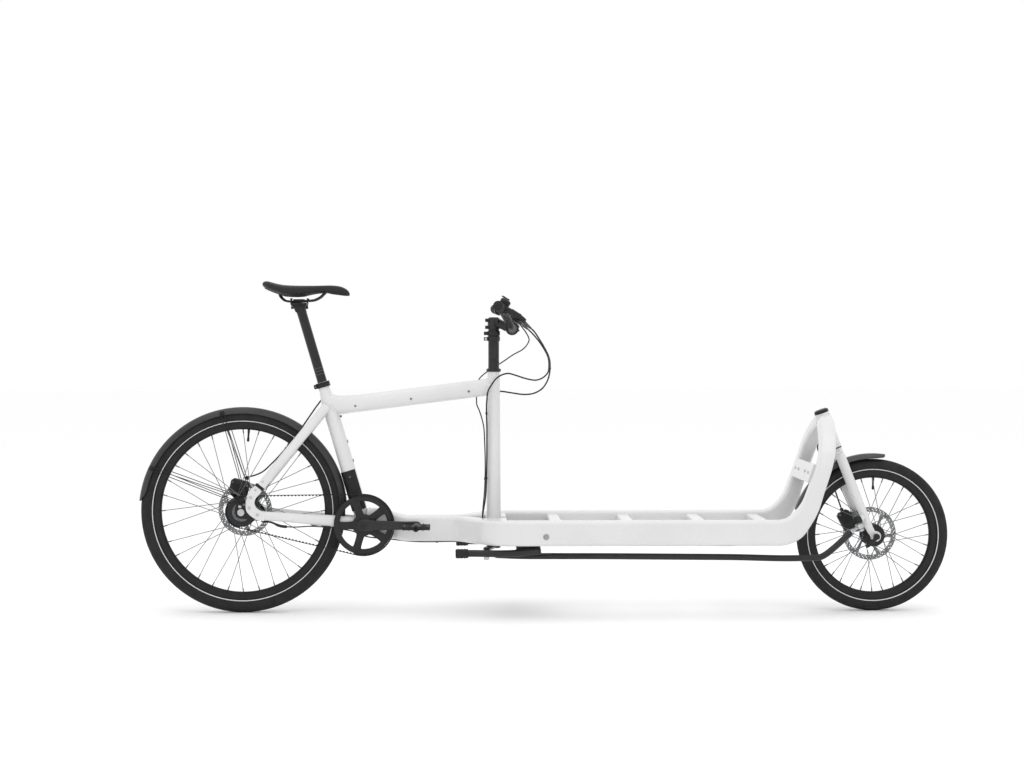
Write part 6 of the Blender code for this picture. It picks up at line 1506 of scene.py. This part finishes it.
coil = np.stack([-0.1020 + turns / turns[-1] * 0.0300, -0.1680 + 0.0050 * np.cos(turns),
                 0.2085 + 0.0050 * np.sin(turns)], -1)
hooks = np.vstack([[[-0.1130, -0.1680, 0.2085], [-0.1060, -0.1630, 0.2085]], coil,
                   [[-0.0680, -0.1680, 0.2100], [-0.0640, -0.1680, 0.2120]]])
piece_of("stand_return_spring", [carried(hooks, oval_outline(0.0009, 0.0009, 6), side=(0.3, 0.2, 0.9))], STEEL,
         "frame")

rod_line = routed([(-0.165, -0.104, 0.1930), (-0.090, -0.110, 0.1905), (0.020, -0.118, 0.1905),
                   (0.160, -0.155, 0.1940),
                   (0.300, -0.185, 0.1960), (0.560, -0.185, 0.1935), (0.830, -0.185, 0.1910),
                   (0.856, -0.1835, 0.1925),
                   (0.874, -0.178, 0.2005), (0.892, -0.167, 0.2115), (0.950, -0.130, 0.2530),
                   (0.962, -0.123, 0.2620)], 0.006)
rod_size = np.full(len(rod_line), ROD_TUBE_RADIUS)
rod_size[[0, -1]] = ROD_END_RADIUS
piece_of("push_rod_tube", [carried(rod_line, oval_outline(rod_size, rod_size, 28))], STEEL_BLACK, "push_rod",
         ["push_rod"],
         crease=50)
rear_eye = [(0.0072, -0.0055), (0.0078, -0.0060), (0.0125, -0.0060), (0.0135, -0.0045), (0.0135, 0.0045),
            (0.0125, 0.0060),
            (0.0078, 0.0060), (0.0072, 0.0055)]
front_eye = [(0.0088, -0.0065), (0.0095, -0.0070), (0.0138, -0.0070), (0.0150, -0.0050), (0.0150, 0.0050),
             (0.0138, 0.0070),
             (0.0095, 0.0070), (0.0088, 0.0065)]


def shank(start, end, radius, nut):
    """A threaded rod between two places with a hexagon nut near its start."""
    start, end = np.asarray(start, float), np.asarray(end, float)
    reach = np.linalg.norm(end - start)
    thread = np.linspace(0.0, reach, 40)
    profile = [(0, 0)] + [(radius * (1 - 0.06 * (k % 2)), d) for k, d in enumerate(thread)] + [(0, reach)]
    lock = [(radius, nut), (radius * 1.75, nut), (radius * 1.85, nut + 0.001), (radius * 1.85, nut + 0.0045),
            (radius * 1.75, nut + 0.0055), (radius, nut + 0.0055)]
    return [turned(profile, start, end - start, 20), turned(lock, start, end - start, 6, True)]


piece_of("push_rod_rear_joint", [turned(rear_eye, ROD_REAR, (0, 0, 1), 32, True),
                                 *shank((-0.162, -0.1043, 0.1929), ROD_REAR + (0.011, -0.0003, -0.0008), 0.0048,
                                        0.003)],
         STEEL, "push_rod")
piece_of("push_rod_front_joint", [turned(front_eye, ROD_FRONT, HEAD_UP, 36, True),
                                  *shank((0.9600, -0.1243, 0.2605), (0.984, -0.1115, 0.2765), 0.0062, 0.003)],
         STEEL, "push_rod")

# ---------------------------------------------------------------- brake hoses and gear cable
# Nylon-reinforced brake hoses and a lined gear cable housing, black, run from the bar down the steering tube and
# under the rails. They are held by clips and guides.
FRONT_HOSE = [
    (-0.0529, 0.1639, 0.9101), (-0.047, 0.162, 0.905), (-0.024, 0.155, 0.880), (-0.002, 0.135, 0.848),
              (0.012, 0.105, 0.818),
    (0.014, 0.075, 0.793), (0.010, 0.050, 0.770), (-0.008, 0.025, 0.752), (-0.028, 0.005, 0.745),
    (-0.064, -0.022, 0.750), (-0.098, -0.038, 0.761), (-0.122, -0.042, 0.767), (-0.142, -0.040, 0.762),
    (-0.158, -0.038, 0.752), (-0.174, -0.036, 0.731), (-0.186, -0.032, 0.708), (-0.189, -0.028, 0.683),
    (-0.189, -0.025, 0.579), (-0.190, -0.025, 0.458), (-0.194, -0.026, 0.368), (-0.2035, -0.026, 0.304),
    (-0.2055, -0.026, 0.264), (-0.2055, -0.026, 0.237), (-0.2010, -0.031, 0.2250), (-0.184, -0.049, 0.2235),
    (-0.150, -0.092, 0.2255), (-0.118, -0.132, 0.2330), (-0.095, -0.149, 0.2365), (-0.040, -0.151, 0.2365),
    (0.005, -0.151, 0.2335), (0.060, -0.151, 0.2330), (0.300, -0.151, 0.2330), (0.690, -0.151, 0.2330),
    (0.745, -0.152, 0.2400), (0.790, -0.153, 0.2800), (0.822, -0.153, 0.3300), (0.848, -0.153, 0.4000),
]
FORK_HOSE = [
    (0.848, -0.153, 0.4000), (0.870, -0.149, 0.4700), (0.879, -0.125, 0.5130), (0.884, -0.075, 0.5350),
    (0.885, 0.000, 0.5400), (0.890, 0.060, 0.5200), (0.914, 0.086, 0.4700), (0.944, 0.078, 0.4020),
    (0.958, 0.056, 0.3500), (0.965, 0.046, 0.3262),
]
REAR_HOSE = [
    (-0.0529, -0.1639, 0.9101), (-0.047, -0.162, 0.905), (-0.026, -0.155, 0.876), (-0.005, -0.140, 0.841),
             (0.008, -0.105, 0.812),
    (0.011, -0.075, 0.787), (0.010, -0.050, 0.765), (0.002, -0.020, 0.737), (-0.015, 0.005, 0.714),
    (-0.040, 0.020, 0.701), (-0.072, 0.030, 0.698), (-0.103, 0.036, 0.702), (-0.148, 0.040, 0.708),
    (-0.200, 0.031, 0.703), (-0.247, 0.028, 0.700), (-0.432, 0.0285, 0.678), (-0.600, 0.029, 0.657),
    (-0.640, 0.031, 0.656), (-0.670, 0.037, 0.668), (-0.695, 0.042, 0.689), (-0.715, 0.043, 0.686),
    (-0.735, 0.043, 0.664), (-0.755, 0.046, 0.636), (-0.800, 0.057, 0.573), (-0.887, 0.062, 0.472),
    (-0.915, 0.060, 0.447), (-0.940, 0.056, 0.436), (-0.956, 0.053, 0.432),
]
GEAR_CABLE = [
    (-0.101, -0.149, 0.9450), (-0.085, -0.147, 0.920), (-0.068, -0.138, 0.898), (-0.057, -0.115, 0.876),
    (-0.061, -0.088, 0.861), (-0.074, -0.060, 0.845), (-0.104, -0.022, 0.827), (-0.147, 0.026, 0.797),
    (-0.184, 0.036, 0.774), (-0.215, 0.036, 0.745), (-0.222, 0.0365, 0.702), (-0.222, 0.030, 0.681),
    (-0.221, 0.018, 0.665), (-0.214, 0.002, 0.649), (-0.200, -0.008, 0.600), (-0.196, -0.012, 0.540),
    (-0.196, -0.012, 0.400), (-0.2035, -0.012, 0.304), (-0.2035, -0.012, 0.252), (-0.212, -0.012, 0.233),
    (-0.240, -0.010, 0.2270), (-0.300, -0.008, 0.2265), (-0.430, -0.008, 0.2270), (-0.520, -0.010, 0.2370),
    (-0.560, -0.020, 0.2415), (-0.583, -0.028, 0.2470), (-0.615, -0.0345, 0.2620), (-0.655, -0.0360, 0.2695),
    (-0.748, -0.049, 0.2800), (-0.811, -0.060, 0.2790), (-0.850, -0.0655, 0.2840), (-0.876, -0.0650, 0.2950),
    (-0.908, -0.0615, 0.2965),
]
HOSE_NYLON = surface_finish("nylon_hose_black", "1E1E1F", "171718", 0.010, 0.0007, 0.00003, 0.45, 0.07, specular=0.32)


def clear_side(path):
    """The direction, out of 400 spread evenly over a sphere, that stays furthest from parallel to a path."""
    k = np.arange(400) + 0.5
    tilt, turn = np.arccos(1 - 2 * k / 400), math.pi * (1 + math.sqrt(5)) * k
    choices = np.stack([np.cos(turn) * np.sin(tilt), np.sin(turn) * np.sin(tilt), np.cos(tilt)], -1)
    along = np.gradient(np.asarray(path), axis=0)
    along /= np.linalg.norm(along, axis=1, keepdims=True)
    return choices[np.argmin(np.abs(choices @ along.T).max(1))]


def hose(name, route, radius, body, node=()):
    """A tube of one thickness along a smooth route, rounded off at both ends."""
    line = routed(route, 0.005)
    size = np.full(len(line), radius)
    size[[0, -1]] = radius * 0.6
    return piece_of(name, [carried(line, oval_outline(size, size, 12), side=clear_side(line))], HOSE_NYLON, body,
                    node,
                    crease=50)


STEERED = ("frame", "steering")
HOSE_RADIUS, CABLE_RADIUS = 0.0025, 0.0020
REAR_HOSE_BEND = (*STEERED, (0, 0, 0.712), (0, 0, 0.900))
hose("front_brake_hose_upper", FRONT_HOSE, HOSE_RADIUS, (*STEERED, (0, 0, 0.772), (0, 0, 0.900)), ["front_hose"])
hose("front_brake_hose_lower", FORK_HOSE, HOSE_RADIUS, ("frame", "fork", (0.885, 0, 0.520), (0.930, 0.100, 0.420)))
hose("rear_brake_hose_run", REAR_HOSE, HOSE_RADIUS, REAR_HOSE_BEND, ["rear_hose"])
hose("gear_cable_housing", GEAR_CABLE, CABLE_RADIUS, (*STEERED, (0, 0, 0.775), (0, 0, 0.935)), ["gear_cable"])


def clip_at(route, share, radius, length):
    """A short rubber collar round a hose, at a share of its length."""
    line = routed(route, 0.002)
    middle = int(share * (len(line) - 1))
    half = max(2, int(length / 0.004))
    part_line = line[max(0, middle - half):middle + half + 1]
    size = np.full(len(part_line), radius)
    size[[0, -1]] *= 0.75
    return carried(part_line, oval_outline(size, size, 16), side=clear_side(part_line))


def share_at(route, place):
    """The share of a route's length at its nearest point to a place."""
    line = routed(route, 0.002)
    return np.argmin(np.linalg.norm(line - np.asarray(place), axis=1)) / (len(line) - 1)


clips = [clip_at(FRONT_HOSE, share_at(FRONT_HOSE, place), 0.0038, 0.010)
         for place in ((-0.189, -0.027, 0.640), (-0.190, -0.025, 0.430), (0.100, -0.151, 0.233),
                       (0.480, -0.151, 0.233),
                       (0.840, -0.153, 0.385))]
clips += [clip_at(REAR_HOSE, share_at(REAR_HOSE, place), 0.0036, 0.008)
          for place in ((-0.247, 0.028, 0.700), (-0.432, 0.0285, 0.678), (-0.600, 0.029, 0.657),
                        (-0.840, 0.060, 0.525))]
clips += [clip_at(GEAR_CABLE, share_at(GEAR_CABLE, place), 0.0034, 0.008)
          for place in ((-0.196, -0.012, 0.430), (-0.350, -0.008, 0.2268), (-0.700, -0.042, 0.2750))]
piece_of("hose_clips", clips, PEDAL_BLACK, "frame")
boot_line = routed(GEAR_CABLE, 0.002)[-44:-2]
boot_size = np.interp(np.linspace(0, 1, len(boot_line)), [0, 0.03, 0.42, 0.48, 0.9, 1.0],
                      [0.0030, 0.0048, 0.0044, 0.0034, 0.0030, 0.0022])
piece_of("gear_cable_boot", [carried(boot_line, oval_outline(boot_size, boot_size, 18), side=clear_side(boot_line))],
         GRIP_RUBBER, "frame")
ties = [clip_at(REAR_HOSE, share_at(REAR_HOSE, (0.009, -0.070, 0.783)), 0.0034, 0.006)]
piece_of("hose_tie_band", ties, PEDAL_BLACK, REAR_HOSE_BEND)

# ---------------------------------------------------------------- seat tube guard and small frame fittings
# A black nylon guard strapped along the seat tube keeps belt dirt off it, on two small screws. Threaded steel bosses
# for a bottle cage and cable guides are riveted into the tubes.


def tube_shield(centre, axis, radius, length_from, length_to, middle, spread, wall):
    """A part-cylinder that hugs a tube: turn within a spread about a middle angle, along a stretch of the tube."""
    axis = axis / np.linalg.norm(axis)
    first = np.cross(axis, (0.0, 1.0, 0.0))
    first /= np.linalg.norm(first)
    second = np.cross(axis, first)
    turns = np.radians(np.linspace(middle - spread, middle + spread, 30))
    ring = np.stack([np.cos(turns), np.sin(turns)], -1)
    outline = np.concatenate([ring * (radius + wall), ring[::-1] * radius])
    stretch = np.array([length_from, length_from + 0.002, length_to - 0.014, length_to])[:, None, None]
    rings = centre + axis * stretch + first * outline[None, :, :1] + second * outline[None, :, 1:]
    return skinned(rings)


SHIELD_RADIUS, SHIELD_FROM, SHIELD_TO, SHIELD_WALL = 0.0238, 0.048, 0.178, 0.0022
SHIELD_MIDDLE, SHIELD_SPREAD = 60, 88
BOSS_DISTANCES, SHIELD_SCREW_DISTANCES, GUIDE_XS = (0.205, 0.269), (0.070, 0.158), (-0.610, -0.432, -0.247)
shield = tube_shield(CRANK, SEAT_UP, SHIELD_RADIUS, SHIELD_FROM, SHIELD_TO, SHIELD_MIDDLE, SHIELD_SPREAD, SHIELD_WALL)
piece_of("seat_tube_guard", [shield], PEDAL_BLACK, "frame", bevel=0.0006)
boss_axis = np.cross((0, 1, 0), SEAT_UP)
boss_axis = boss_axis * np.sign(boss_axis[0])
boss_places = [CRANK + SEAT_UP * d + boss_axis * 0.0232 for d in BOSS_DISTANCES]
bosses = [turned([(0, -0.001), (0.0052, -0.001), (0.0054, 0.0012), (0.0046, 0.0020), (0.0030, 0.0020),
                  (0.0027, 0.0012), (0, 0.0012)],
                 place, boss_axis, 22) for place in boss_places]
guard_screws = []
for d in SHIELD_SCREW_DISTANCES:
    side_axis = np.array([0, -1.0, 0])
    guard_screws.append(button_bolt(CRANK + SEAT_UP * d + side_axis * 0.0256, side_axis, 0.0036, 0.0022))
bosses += guard_screws
for x, y, z, r in ((-0.6560, -0.0215, 0.6300, 0.0040), (-0.7450, -0.0500, 0.6050, 0.0032)):
    bosses.append(button_bolt((x, y, z), (0, -1, 0), r, 0.0022))
piece_of("frame_bosses_and_screws", bosses, SPOKE_STEEL, "frame")
guides = []
for x in GUIDE_XS:
    middle = TOP_REAR + (TOP_FRONT - TOP_REAR) * (x - TOP_REAR[0]) / (TOP_FRONT[0] - TOP_REAR[0])
    guides.append(button_bolt(middle + (0, -0.0212, -0.0060), (0, -1, 0), 0.0034, 0.0024))
piece_of("top_tube_guide_screws", guides, SPOKE_STEEL, "frame")
